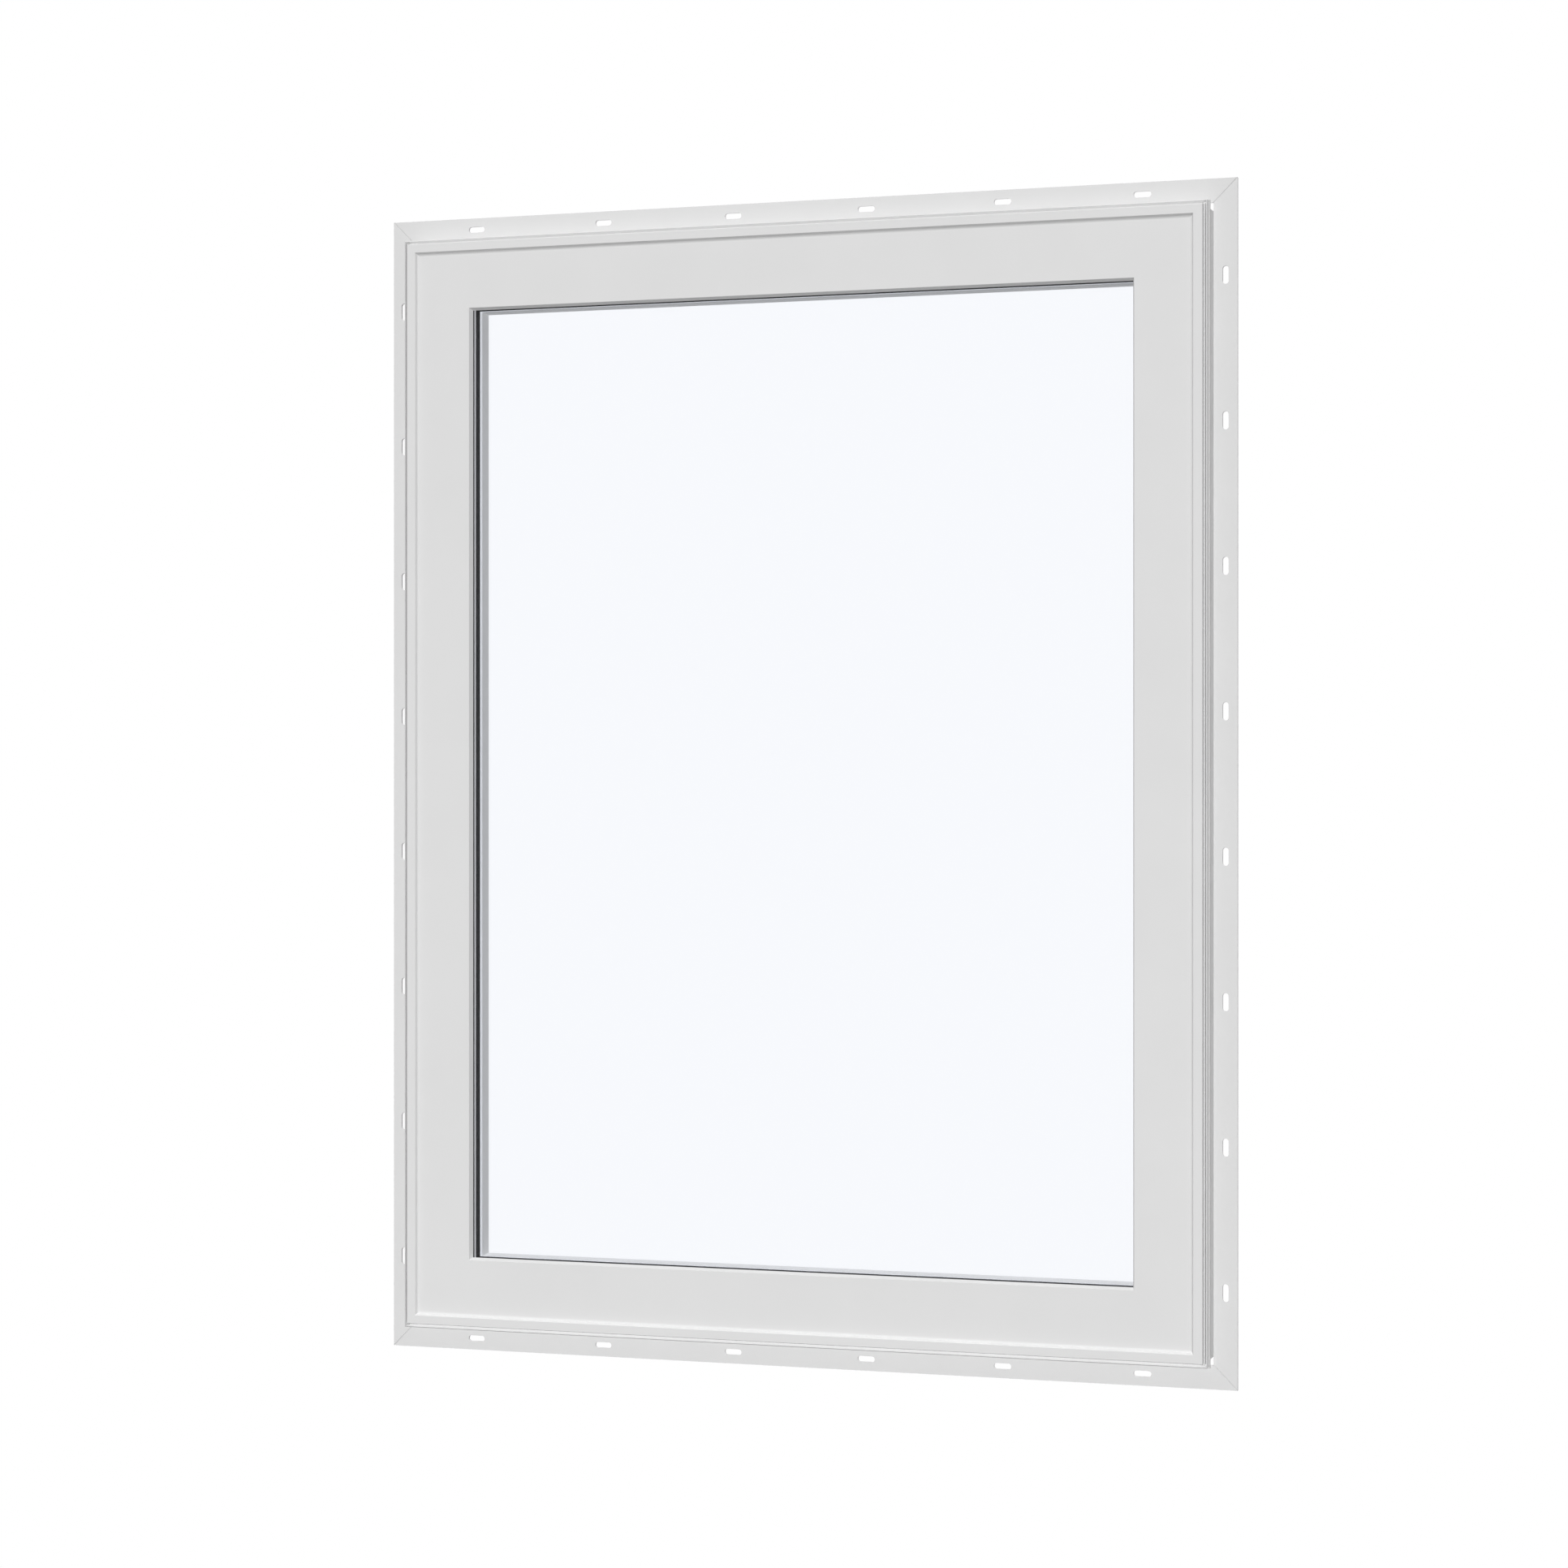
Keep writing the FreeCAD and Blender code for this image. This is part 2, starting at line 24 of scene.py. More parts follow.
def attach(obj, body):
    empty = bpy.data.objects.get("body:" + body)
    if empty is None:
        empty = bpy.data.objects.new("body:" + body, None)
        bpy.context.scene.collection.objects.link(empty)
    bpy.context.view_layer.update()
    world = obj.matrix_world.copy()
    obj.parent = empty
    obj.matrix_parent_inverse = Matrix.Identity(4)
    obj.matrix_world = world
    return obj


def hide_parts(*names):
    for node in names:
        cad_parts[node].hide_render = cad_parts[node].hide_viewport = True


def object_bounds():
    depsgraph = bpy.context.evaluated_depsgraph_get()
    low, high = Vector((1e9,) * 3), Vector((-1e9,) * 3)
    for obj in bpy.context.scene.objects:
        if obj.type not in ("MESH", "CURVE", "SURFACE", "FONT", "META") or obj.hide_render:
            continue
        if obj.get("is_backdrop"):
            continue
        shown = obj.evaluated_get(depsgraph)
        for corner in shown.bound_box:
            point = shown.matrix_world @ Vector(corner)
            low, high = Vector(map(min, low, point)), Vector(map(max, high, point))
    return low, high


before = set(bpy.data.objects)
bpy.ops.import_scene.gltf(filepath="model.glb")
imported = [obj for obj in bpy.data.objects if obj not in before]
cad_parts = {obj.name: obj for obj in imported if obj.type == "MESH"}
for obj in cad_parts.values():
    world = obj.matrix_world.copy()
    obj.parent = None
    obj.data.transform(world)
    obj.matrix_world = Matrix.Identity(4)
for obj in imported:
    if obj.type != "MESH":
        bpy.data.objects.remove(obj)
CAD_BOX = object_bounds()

LOG = logging.getLogger("picture_window")
MM = 0.001
BODY = "root"
WHITE = "#FFFFFF"
# Corner attribute with the place of a surface in its bar: inset, depth and run.
BAR_PLACE = "bar_place"
# A rounded corner: the turn of one facet, the fewest facets, and the most of a side that it takes up.
ARC_STEP = math.radians(10.0)
ARC_FEWEST = 2
ARC_SHARE = 0.45
# Edges that turn by less than the first are shaded smooth, and by more than the second are broken.
SMOOTH_UNDER = math.radians(15.0)
SHARP_OVER = math.radians(30.0)
BREAK_FACETS = 2
ROUND_PROFILE = 0.5
# Strongest pull of large faces on the shading of the edges beside them.
FACE_WEIGHT = 100
# Edges of a mitred end that are shorter than this stay plain.
LONG_EDGE = 10.0 * MM
# Directions whose parts differ by less than this are the same.
SAME_WAY = 0.01
# Points that are nearer than this are one.
WELD_GAP = 0.002 * MM
# Sides of a round cut.
DRILL_SIDES = 48
# Air left round glass, so that faces which touch in the solids don't share a plane in the render.
CONTACT_GAP = 0.05
# Length of one wave of the wave texture at a scale of 1, in metres.
WAVE_UNIT = 0.314
# Named inputs of the trees that go round the window, and of those that make one bar.
RING_INPUTS = {"Width": "Float", "Height": "Float", "Middle": "Float", "Material": "Material"}
BAR_INPUTS = {"Length": "Float", "Centre": "Vector", "Turn": "Vector", "Material": "Material"}

Colour = tuple[float, float, float, float]
Point2 = tuple[float, float]
Point3 = tuple[float, float, float]
Inputs = Mapping[str | int, Any]


class Side(Enum):
    """The four sides of the window, by the ending of their node names."""

    HEAD = "head"
    SILL = "sill"
    LEFT_JAMB = "left_jamb"
    RIGHT_JAMB = "right_jamb"

    @property
    def turn(self) -> float:
        """Angle about Y that turns a bar's own frame to this side, in radians."""
        degrees = {Side.HEAD: 90, Side.SILL: -90, Side.LEFT_JAMB: 0, Side.RIGHT_JAMB: 180}
        return math.radians(degrees[self])

    @property
    def level(self) -> bool:
        """True for the sides that lie level."""
        return self in (Side.HEAD, Side.SILL)

    @property
    def out(self) -> float:
        """Way from the window's middle to this side, as a share of the window's span."""
        return 0.5 if self in (Side.HEAD, Side.RIGHT_JAMB) else -0.5


class Slot(Enum):
    """The record's material slots."""

    FRAME = "frame_pvc"
    FIN = "fin_pvc"
    BEAD = "bead_pvc"
    GASKET = "gasket_rubber"
    SEAL = "seal_foam"
    SPACER = "spacer"
    GLASS = "glass"
    BLOCK = "block_rubber"


class Grain(Enum):
    """What roughens a matt skin, by the node that draws it."""

    POWDER = "ShaderNodeTexNoise"
    CELLS = "ShaderNodeTexVoronoi"


class Corner(NamedTuple):
    """One corner of a section: its inset, its depth and the radius that softens it, in millimetres."""

    inset: float
    depth: float
    radius: float = 0.0


def linear(code: str) -> Colour:
    """Turn an sRGB hex colour into linear red, green, blue and alpha.

    Args:
        code: The colour as "#RRGGBB".

    Returns:
        Linear values from 0 to 1, with an alpha of 1.
    """
    parts = (int(code[i : i + 2], 16) / 255 for i in (1, 3, 5))
    red, green, blue = (p / 12.92 if p <= 0.04045 else ((p + 0.055) / 1.055) ** 2.4 for p in parts)
    return red, green, blue, 1.0


def add(tree: NodeTree, kind: str, inputs: Inputs | None = None, **settings: Any) -> Node:
    """Add a node to a tree, with its settings and its inputs.

    Args:
        tree: The tree that gets the node.
        kind: Blender's name for the kind of node.
        inputs: Value for each input, by name or number. A socket, or a node's first output, is linked
            instead, and so is each one of a list.
        **settings: Properties of the node, set before its inputs.

    Returns:
        The new node.
    """
    node = tree.nodes.new(kind)
    for name, value in settings.items():
        setattr(node, name, value)
    for key, value in (inputs or {}).items():
        for source in value if isinstance(value, list) else [value]:
            if isinstance(source, Node):
                tree.links.new(source.outputs[0], node.inputs[key])
            elif isinstance(source, NodeSocket):
                tree.links.new(source, node.inputs[key])
            else:
                node.inputs[key].default_value = source
    return node


def blank_material(name: str) -> tuple[Material, NodeTree]:
    """Make an empty node material.

    Args:
        name: Name of the material.

    Returns:
        The material and its tree.
    """
    material = bpy.data.materials.new(name)
    material.use_nodes = True
    material.node_tree.nodes.clear()
    return material, material.node_tree


@dataclass(frozen=True)
class Polymer:
    """Rubber, sealant or filled plastic with a matt, grained skin."""

    name: str
    low: str
    high: str
    pattern: Grain = Grain.POWDER
    roughness: float = 0.72
    roughness_spread: float = 0.1
    ior: float = 1.52
    gloss: float = 0.3
    # The real grain is about a tenth as wide, too fine to show, so it is drawn coarser.
    grain: float = 0.9
    grain_detail: float = 4.0
    grain_range: Point2 = (0.0, 1.0)
    grain_height: float = 0.02
    grain_strength: float = 0.5

    def make(self) -> Material:
        """Make the material.

        Returns:
            The material.
        """
        # To the eye it is dull, and its colour changes from the low parts of a fine grain to the high
        # ones.
        material, tree = blank_material(self.name)
        spot = add(tree, "ShaderNodeTexCoord").outputs["Object"]
        fine = {"Scale": 1 / (self.grain * MM), "Detail": self.grain_detail}
        grain = add(tree, self.pattern.value, {"Vector": spot, **fine})
        self.surface(tree, grain, grain)
        return material

    def surface(self, tree: NodeTree, tint: Node, grain: Node) -> None:
        """End a material's tree with a surface that follows two patterns.

        Args:
            tree: The tree.
            tint: Pattern of the colour, from low to high.
            grain: Pattern of the relief and the gloss, of which the high parts are the dullest.
        """
        ends = {6: linear(self.low), 7: linear(self.high)}
        colour = add(tree, "ShaderNodeMix", {0: tint, **ends}, data_type="RGBA").outputs[2]
        relief = {"Strength": self.grain_strength, "Distance": self.grain_height * MM}
        bump = add(tree, "ShaderNodeBump", {"Height": grain, **relief})
        sheen: float | Node = self.roughness
        if self.roughness_spread:
            low, high = self.grain_range
            glossy, dull = self.roughness - self.roughness_spread, self.roughness + self.roughness_spread
            span = {"From Min": low, "From Max": high, "To Min": glossy, "To Max": dull}
            sheen = add(tree, "ShaderNodeMapRange", {"Value": grain, **span})
        skin = {"IOR": self.ior, "Specular IOR Level": self.gloss, "Base Color": colour}
        shader = add(tree, "ShaderNodeBsdfPrincipled", {**skin, "Roughness": sheen, "Normal": bump})
        add(tree, "ShaderNodeOutputMaterial", {"Surface": shader})


@dataclass(frozen=True)
class FoamTape(Polymer):
    """Closed-cell polyethylene foam tape: pale grey that darkens between its tiny cells."""

    name: str = "polyethylene_foam_tape"
    low: str = "#DFE0E1"
    high: str = "#C9CACC"
    pattern: Grain = Grain.CELLS
    roughness: float = 0.85
    roughness_spread: float = 0.0
    ior: float = 1.5
    gloss: float = 0.2
    grain: float = 0.8
    grain_detail: float = 0.0
    grain_height: float = 0.05


@dataclass(frozen=True)
class ExtrudedPvc(Polymer):
    """Rigid white PVC, drawn through a polished die that leaves its grain as lines along each bar."""

    name: str = "extruded_white_pvc"
    low: str = "#DADADA"
    high: str = "#DEDEDE"
    roughness: float = 0.68
    roughness_spread: float = 0.07
    ior: float = 1.53
    gloss: float = 0.1
    grain: float = 1.6
    grain_detail: float = 3.0
    grain_range: Point2 = (0.3, 0.7)
    grain_height: float = 0.004
    grain_strength: float = 0.3
    grain_run: float = 500.0
    mottle: float = 70.0
    mottle_detail: float = 2.0

    def make(self) -> Material:
        """Make the material.

        Returns:
            The material, which follows the place of a surface in its bar.
        """
        # To the eye it is satin white, with a gloss that changes in faint lines along each bar and a
        # slow drift in its whiteness.
        material, tree = blank_material(self.name)
        place = add(tree, "ShaderNodeAttribute", attribute_name=BAR_PLACE).outputs["Vector"]
        across, along = 1 / (self.grain * MM), 1 / (self.grain_run * MM)
        drawn = add(tree, "ShaderNodeMapping", {"Vector": place, "Scale": (across, across, along)})
        fine = {"Scale": 1.0, "Detail": self.grain_detail}
        lines = add(tree, self.pattern.value, {"Vector": drawn, **fine})
        spot = add(tree, "ShaderNodeTexCoord").outputs["Object"]
        cloud = {"Scale": 1 / (self.mottle * MM), "Detail": self.mottle_detail}
        drift = add(tree, "ShaderNodeTexNoise", {"Vector": spot, **cloud})
        self.surface(tree, drift, lines)
        return material


@dataclass(frozen=True)
class FloatGlass:
    """Clear float glass: polished, almost without colour."""

    name: str = "clear_float_glass"
    tint: str = "#FBFCFE"
    ior: float = 1.5
    wave: float = 280.0
    wave_bend: float = 1.5
    wave_height: float = 0.0005
    wave_strength: float = 0.1

    def make(self) -> Material:
        """Make the material.

        Returns:
            The material, of which only the side that faces the eye mirrors and tints.
        """
        # To the eye it is a sheet that is seen straight through, faintly blue, with a mirror sheen that
        # grows at a slant and has the long waves that the rollers leave.
        material, tree = blank_material(self.name)
        spot = add(tree, "ShaderNodeTexCoord").outputs["Object"]
        long = {"Scale": WAVE_UNIT / (self.wave * MM), "Distortion": self.wave_bend}
        wave = add(tree, "ShaderNodeTexWave", {"Vector": spot, **long}, bands_direction="Z")
        relief = {"Strength": self.wave_strength, "Distance": self.wave_height * MM}
        bump = add(tree, "ShaderNodeBump", {"Height": wave.outputs["Fac"], **relief})
        sheet = add(tree, "ShaderNodeBsdfTransparent", {"Color": linear(self.tint)})
        polish = {"Color": linear(WHITE), "Roughness": 0.0, "Normal": bump}
        mirror = add(tree, "ShaderNodeBsdfGlossy", polish)
        slant = add(tree, "ShaderNodeFresnel", {"IOR": self.ior})
        near = add(tree, "ShaderNodeMixShader", {0: slant, 1: sheet, 2: mirror})
        far = add(tree, "ShaderNodeBsdfTransparent", {"Color": linear(WHITE)})
        away = add(tree, "ShaderNodeNewGeometry").outputs["Backfacing"]
        both = add(tree, "ShaderNodeMixShader", {0: away, 1: near, 2: far})
        add(tree, "ShaderNodeOutputMaterial", {"Surface": both})
        return material


class GeometryTree:
    """A Geometry Nodes tree with named inputs."""

    def __init__(self, name: str, inputs: Mapping[str, str]) -> None:
        """Make the tree with a geometry input and output, and with its named inputs.

        Args:
            name: Name of the tree.
            inputs: Kind of each named input, as the ending of Blender's name for such a socket.
        """
        self.tree = bpy.data.node_groups.new(name, "GeometryNodeTree")
        sockets = self.tree.interface
        self.sockets = {
            label: sockets.new_socket(label, in_out="INPUT", socket_type=f"NodeSocket{kind}")
            for label, kind in {"Geometry": "Geometry", **inputs}.items()
        }
        sockets.new_socket("Geometry", in_out="OUTPUT", socket_type="NodeSocketGeometry")
        self.source = self.tree.nodes.new("NodeGroupInput")
        self.sink = self.tree.nodes.new("NodeGroupOutput")

    def given(self, name: str) -> NodeSocket:
        """Return the socket that carries a named input."""
        return self.source.outputs[name]

    def add(self, kind: str, inputs: Inputs | None = None, **settings: Any) -> Node:
        """Add a node to the tree, as the function of that name does."""
        return add(self.tree, kind, inputs, **settings)

    def end(self, geometry: Node) -> None:
        """Send a geometry to the output as it is."""
        self.tree.links.new(geometry.outputs[0], self.sink.inputs[0])

    def end_piece(self, geometry: Node) -> None:
        """Make instances real, set the material and send the geometry to the output.

        Args:
            geometry: The node that gives the piece.
        """
        real = self.add("GeometryNodeRealizeInstances", {"Geometry": geometry})
        dressed = {"Geometry": real, "Material": self.given("Material")}
        self.end(self.add("GeometryNodeSetMaterial", dressed))

    def end_bar(self, bar: Node) -> None:
        """Turn a bar, move it to its centre and end the piece."""
        place = {"Translation": self.given("Centre"), "Rotation": self.given("Turn")}
        self.end_piece(self.add("GeometryNodeTransform", {"Geometry": bar, **place}))

    def end_ring(self, level: Node, upright: Node) -> None:
        """Stand bars on the four sides of the window, join them into one skin and end the piece.

        Args:
            level: The bar for the head and the sill, in its own frame.
            upright: The bar for the jambs, in its own frame.
        """
        placed = []
        for side in Side:
            span = self.given("Height" if side.level else "Width")
            reach = self.add("ShaderNodeMath", {0: span, 1: side.out}, operation="MULTIPLY")
            middle = self.given("Middle")
            if side.level:
                height = self.add("ShaderNodeMath", {0: reach, 1: middle}, operation="ADD")
                centre = self.add("ShaderNodeCombineXYZ", {"Z": height})
            else:
                centre = self.add("ShaderNodeCombineXYZ", {"X": reach, "Z": middle})
            place = {"Translation": centre, "Rotation": (0, side.turn, 0)}
            bar = level if side.level else upright
            placed.append(self.add("GeometryNodeTransform", {"Geometry": bar, **place}))
        joined = self.add("GeometryNodeJoinGeometry", {"Geometry": placed})
        skin = {"Geometry": joined, "Distance": WELD_GAP}
        self.end_piece(self.add("GeometryNodeMergeByDistance", skin))

    def put_on(self, piece: Object, values: Mapping[str, Any]) -> None:
        """Give an object this tree as a modifier.

        Args:
            piece: The object.
            values: Value of each named input.
        """
        modifier = piece.modifiers.new(self.tree.name, "NODES")
        modifier.node_group = self.tree
        for name, value in values.items():
            modifier[self.sockets[name].identifier] = value


@dataclass
class Outline:
    """The window's reference planes, which are the outer faces of the fins' legs."""

    width: float = 914.4
    height: float = 1219.2
    sill: float = 12.7

    @property
    def middle(self) -> float:
        """Height of the window's middle."""
        return self.sill + self.height / 2

    def length(self, side: Side) -> float:
        """Length of a side between the reference planes."""
        return self.width if side.level else self.height

    def centre(self, side: Side) -> Point3:
        """Place of a bar's own origin, in metres.

        Args:
            side: The bar's side.

        Returns:
            X, Y and Z.
        """
        x = 0.0 if side.level else side.out * self.width
        z = self.middle + (side.out * self.height if side.level else 0.0)
        return x * MM, 0.0, z * MM

    def ring_values(self) -> dict[str, float]:
        """The inputs that place four bars round the window, in metres."""
        return {"Width": self.width * MM, "Height": self.height * MM, "Middle": self.middle * MM}


class BarShop:
    """The window's planes, with the Geometry Nodes trees that make mitred bars and what goes on them."""

    def __init__(self, outline: Outline) -> None:
        """Build the trees, the plain bar first because the others hold it.

        Args:
            outline: The window's planes.
        """
        self.outline = outline
        self.plain = self._plain()
        self.rings = GeometryTree("welded_ring", RING_INPUTS)
        self.rings.end_ring(*(self._drawn(self.rings, length, False) for length in ("Width", "Height")))
        self.bars = GeometryTree("placed_bar", BAR_INPUTS)
        self.bars.end_bar(self._drawn(self.bars, "Length", True))
        self.fins = self._fins()
        self.strips = self._strips()

    def _plain(self) -> GeometryTree:
        """Draw a section along a bar and cut both ends at 45 degrees.

        Returns:
            The tree.
        """
        bar = GeometryTree("mitred_bar", {"Length": "Float", "Caps": "Bool"})
        low, high = (
            bar.add("ShaderNodeMath", {0: bar.given("Length"), 1: share}, operation="MULTIPLY")
            for share in (-0.5, 0.5)
        )
        start, stop = (bar.add("ShaderNodeCombineXYZ", {"Z": end}) for end in (low, high))
        path = bar.add("GeometryNodeCurvePrimitiveLine", {"Start": start, "End": stop})
        section = bar.add("GeometryNodeMeshToCurve", {"Mesh": bar.given("Geometry")})
        drawn = {"Curve": path, "Profile Curve": section, "Fill Caps": bar.given("Caps")}
        swept = bar.add("GeometryNodeCurveToMesh", drawn)
        place = bar.add("GeometryNodeInputPosition")
        split = bar.add("ShaderNodeSeparateXYZ", {0: place})
        end = bar.add("ShaderNodeMath", {0: split.outputs["Z"]}, operation="SIGN")
        cut = bar.add("ShaderNodeMath", {0: end, 1: split.outputs["X"]}, operation="MULTIPLY")
        back = bar.add("ShaderNodeMath", {0: cut, 1: -1.0}, operation="MULTIPLY")
        shift = bar.add("ShaderNodeCombineXYZ", {"Z": back})
        mitred = bar.add("GeometryNodeSetPosition", {"Geometry": swept, "Offset": shift})
        mark = {"Geometry": mitred, "Name": BAR_PLACE, "Value": place}
        kind = {"data_type": "FLOAT_VECTOR", "domain": "CORNER"}
        bar.end(bar.add("GeometryNodeStoreNamedAttribute", mark, **kind))
        return bar

    def _drawn(self, tree: GeometryTree, length: str, caps: bool) -> Node:
        """Add a plain bar to a tree.

        Args:
            tree: The tree.
            length: Name of the input with the bar's length.
            caps: True to close its ends.

        Returns:
            The node that draws the bar.
        """
        inputs = {"Geometry": tree.given("Geometry"), "Length": tree.given(length), "Caps": caps}
        return tree.add("GeometryNodeGroup", inputs, node_tree=self.plain.tree)

    def _fins(self) -> GeometryTree:
        """Make one fin: a closed bar with a row of slots cut through it and a notch at each end.

        Returns:
            The tree.
        """
        places = ("Slot Start", "Slot Pitch", "Notch Size", "Notch Low", "Notch High")
        sizes = ("Slot Radius", "Slot Run", "Cut Depth")
        kinds = {**dict.fromkeys(places, "Vector"), **dict.fromkeys(sizes, "Float"), "Slot Count": "Int"}
        fin = GeometryTree("nailing_fin", {**BAR_INPUTS, **kinds})
        bar = self._drawn(fin, "Length", True)
        hole = {"Radius": fin.given("Slot Radius"), "Depth": fin.given("Cut Depth")}
        drill = fin.add("GeometryNodeMeshCylinder", {"Vertices": DRILL_SIDES, **hole})
        drill = fin.add("GeometryNodeTransform", {"Geometry": drill, "Rotation": (math.pi / 2, 0, 0)})
        split = fin.add("ShaderNodeSeparateXYZ", {0: fin.add("GeometryNodeInputPosition")})
        end = fin.add("ShaderNodeMath", {0: split.outputs["Z"]}, operation="SIGN")
        run = fin.add("ShaderNodeMath", {0: end, 1: fin.given("Slot Run")}, operation="MULTIPLY")
        shift = fin.add("ShaderNodeCombineXYZ", {"Z": run})
        drill = fin.add("GeometryNodeSetPosition", {"Geometry": drill, "Offset": shift})
        slots = self._row(fin, "Slot", {"Instance": drill})
        notch = fin.add("GeometryNodeMeshCube", {"Size": fin.given("Notch Size")})
        notches = [
            fin.add("GeometryNodeTransform", {"Geometry": notch, "Translation": fin.given(name)})
            for name in ("Notch Low", "Notch High")
        ]
        cutters = fin.add("GeometryNodeJoinGeometry", {"Geometry": [slots, *notches]})
        both = {"Mesh 1": bar, "Mesh 2": cutters}
        fin.end_bar(fin.add("GeometryNodeMeshBoolean", both, operation="DIFFERENCE", solver="EXACT"))
        return fin

    @staticmethod
    def _row(tree: GeometryTree, word: str, repeated: Mapping[str, Any]) -> Node:
        """Repeat a shape in a row along a bar.

        Args:
            tree: The tree.
            word: First word of the inputs with the row's count, start and pitch.
            repeated: The shape as an instance, with its scale if it has one.

        Returns:
            The node with the real row.
        """
        count, start, pitch = (tree.given(f"{word} {what}") for what in ("Count", "Start", "Pitch"))
        line = {"Count": count, "Start Location": start, "Offset": pitch}
        points = tree.add("GeometryNodeMeshLine", line)
        row = tree.add("GeometryNodeInstanceOnPoints", {"Points": points, **repeated})
        return tree.add("GeometryNodeRealizeInstances", {"Geometry": row})

    def _strips(self) -> GeometryTree:
        """Lay perforated plates end to end along the four sides of the spacer.

        Returns:
            The tree.
        """
        words = ("Level", "Upright")
        kinds = {"Count": "Int", "Start": "Vector", "Pitch": "Vector"}
        rows = {f"{word} {what}": kind for word in words for what, kind in kinds.items()}
        strips = GeometryTree("perforated_strips", {**RING_INPUTS, **rows})
        plates = []
        for word in words:
            pitch = {0: strips.given(f"{word} Pitch"), 1: (1, 1, 0)}
            scale = strips.add("ShaderNodeVectorMath", pitch, operation="ADD")
            plate = {"Instance": strips.given("Geometry"), "Scale": scale}
            plates.append(self._row(strips, word, plate))
        strips.end_ring(*plates)
        return strips

    def ring(self, name: str, section: Sequence[Corner], finish: Material) -> Object:
        """Make a piece that runs round the window without a joint.

        Args:
            name: Name of the piece.
            section: Its section.
            finish: Its material.

        Returns:
            The piece, as a plain mesh.
        """
        piece = section_object(name, section)
        self.rings.put_on(piece, {**self.outline.ring_values(), "Material": finish})
        settle(piece)
        return piece

    def bar(
        self,
        name: str,
        section: Sequence[Corner],
        side: Side,
        finish: Material,
        gap: float = 0.0,
        cuts: Mapping[str, Any] | None = None,
    ) -> Object:
        """Make one bar with mitred ends.

        Args:
            name: Name of the piece.
            section: Its section.
            side: The side that it goes to.
            finish: Its material.
            gap: How much shorter it is than its side.
            cuts: Inputs for its slots and notches, if it is a fin.

        Returns:
            The piece, with its tree still on it.
        """
        piece = section_object(name, section)
        length = (self.outline.length(side) - gap) * MM
        place = {"Length": length, "Centre": self.outline.centre(side), "Turn": (0, side.turn, 0)}
        tree = self.fins if cuts else self.bars
        tree.put_on(piece, {**place, **(cuts or {}), "Material": finish})
        return piece


def soften(corners: Sequence[Corner]) -> list[Point2]:
    """Round the corners of a closed outline.

    Args:
        corners: The outline's corners in order.

    Returns:
        Points in millimetres, with an arc in place of each corner that has a radius.
    """
    points: list[Point2] = []
    count = len(corners)
    for i, corner in enumerate(corners):
        here = Vector(corner[:2])
        back = Vector(corners[i - 1][:2]) - here
        on = Vector(corners[(i + 1) % count][:2]) - here
        angle = back.angle(on)
        if corner.radius <= 0 or math.pi - angle < ARC_STEP / 2:
            points.append(tuple(here))
            continue
        reach = min(corner.radius / math.tan(angle / 2), ARC_SHARE * min(back.length, on.length))
        radius = reach * math.tan(angle / 2)
        inward = (back.normalized() + on.normalized()).normalized()
        centre = here + inward * (radius / math.sin(angle / 2))
        start = here + back.normalized() * reach - centre
        turn = math.copysign(math.pi - angle, on.x * back.y - on.y * back.x)
        steps = max(ARC_FEWEST, math.ceil(abs(turn) / ARC_STEP))
        for step in range(steps + 1):
            points.append(tuple(centre + Matrix.Rotation(turn * step / steps, 2) @ start))
    return points


def mesh_object(name: str, mesh: Mesh) -> Object:
    """Put a mesh in the scene.

    Args:
        name: Name of the piece.
        mesh: Its mesh.

    Returns:
        The object, at the origin.
    """
    piece = bpy.data.objects.new(name, mesh)
    bpy.context.scene.collection.objects.link(piece)
    return piece


def section_object(name: str, corners: Sequence[Corner]) -> Object:
    """Make a piece that holds only its section, as a closed line for a tree to draw along a bar.

    Args:
        name: Name of the piece.
        corners: Corners of the section.

    Returns:
        The object.
    """
    points = [(x * MM, y * MM, 0.0) for x, y in soften(corners)]
    count = len(points)
    mesh = bpy.data.meshes.new(name)
    mesh.from_pydata(points, [(i, (i + 1) % count) for i in range(count)], [])
    return mesh_object(name, mesh)


@contextmanager
def edited(piece: Object) -> Iterator[BMesh]:
    """Open a piece's mesh for editing, and put it back.

    Args:
        piece: The piece.

    Yields:
        Its mesh.
    """
    shape = bmesh.new()
    shape.from_mesh(piece.data)
    yield shape
    shape.to_mesh(piece.data)
    shape.free()


def apply_modifiers(piece: Object) -> None:
    """Replace a piece's mesh by what its modifiers make of it, and remove them.

    Args:
        piece: The piece.
    """
    depsgraph = bpy.context.evaluated_depsgraph_get()
    mesh = bpy.data.meshes.new_from_object(
        piece.evaluated_get(depsgraph), preserve_all_data_layers=True, depsgraph=depsgraph
    )
    old = piece.data
    piece.modifiers.clear()
    piece.data = mesh
    bpy.data.meshes.remove(old)
    mesh.name = piece.name


def on_mitre(edge: BMEdge) -> bool:
    """Tell whether a long edge lies between a mitred end that looks down and an outdoor or indoor face.

    Args:
        edge: An edge of two faces.

    Returns:
        True if it does.
    """
    end, face = sorted((face.normal for face in edge.link_faces), key=lambda normal: abs(normal.y))
    mitred = abs(abs(end.x) - abs(end.z)) < SAME_WAY and end.z < 0
    return mitred and abs(face.y) > 1 - SAME_WAY and edge.calc_length() > LONG_EDGE


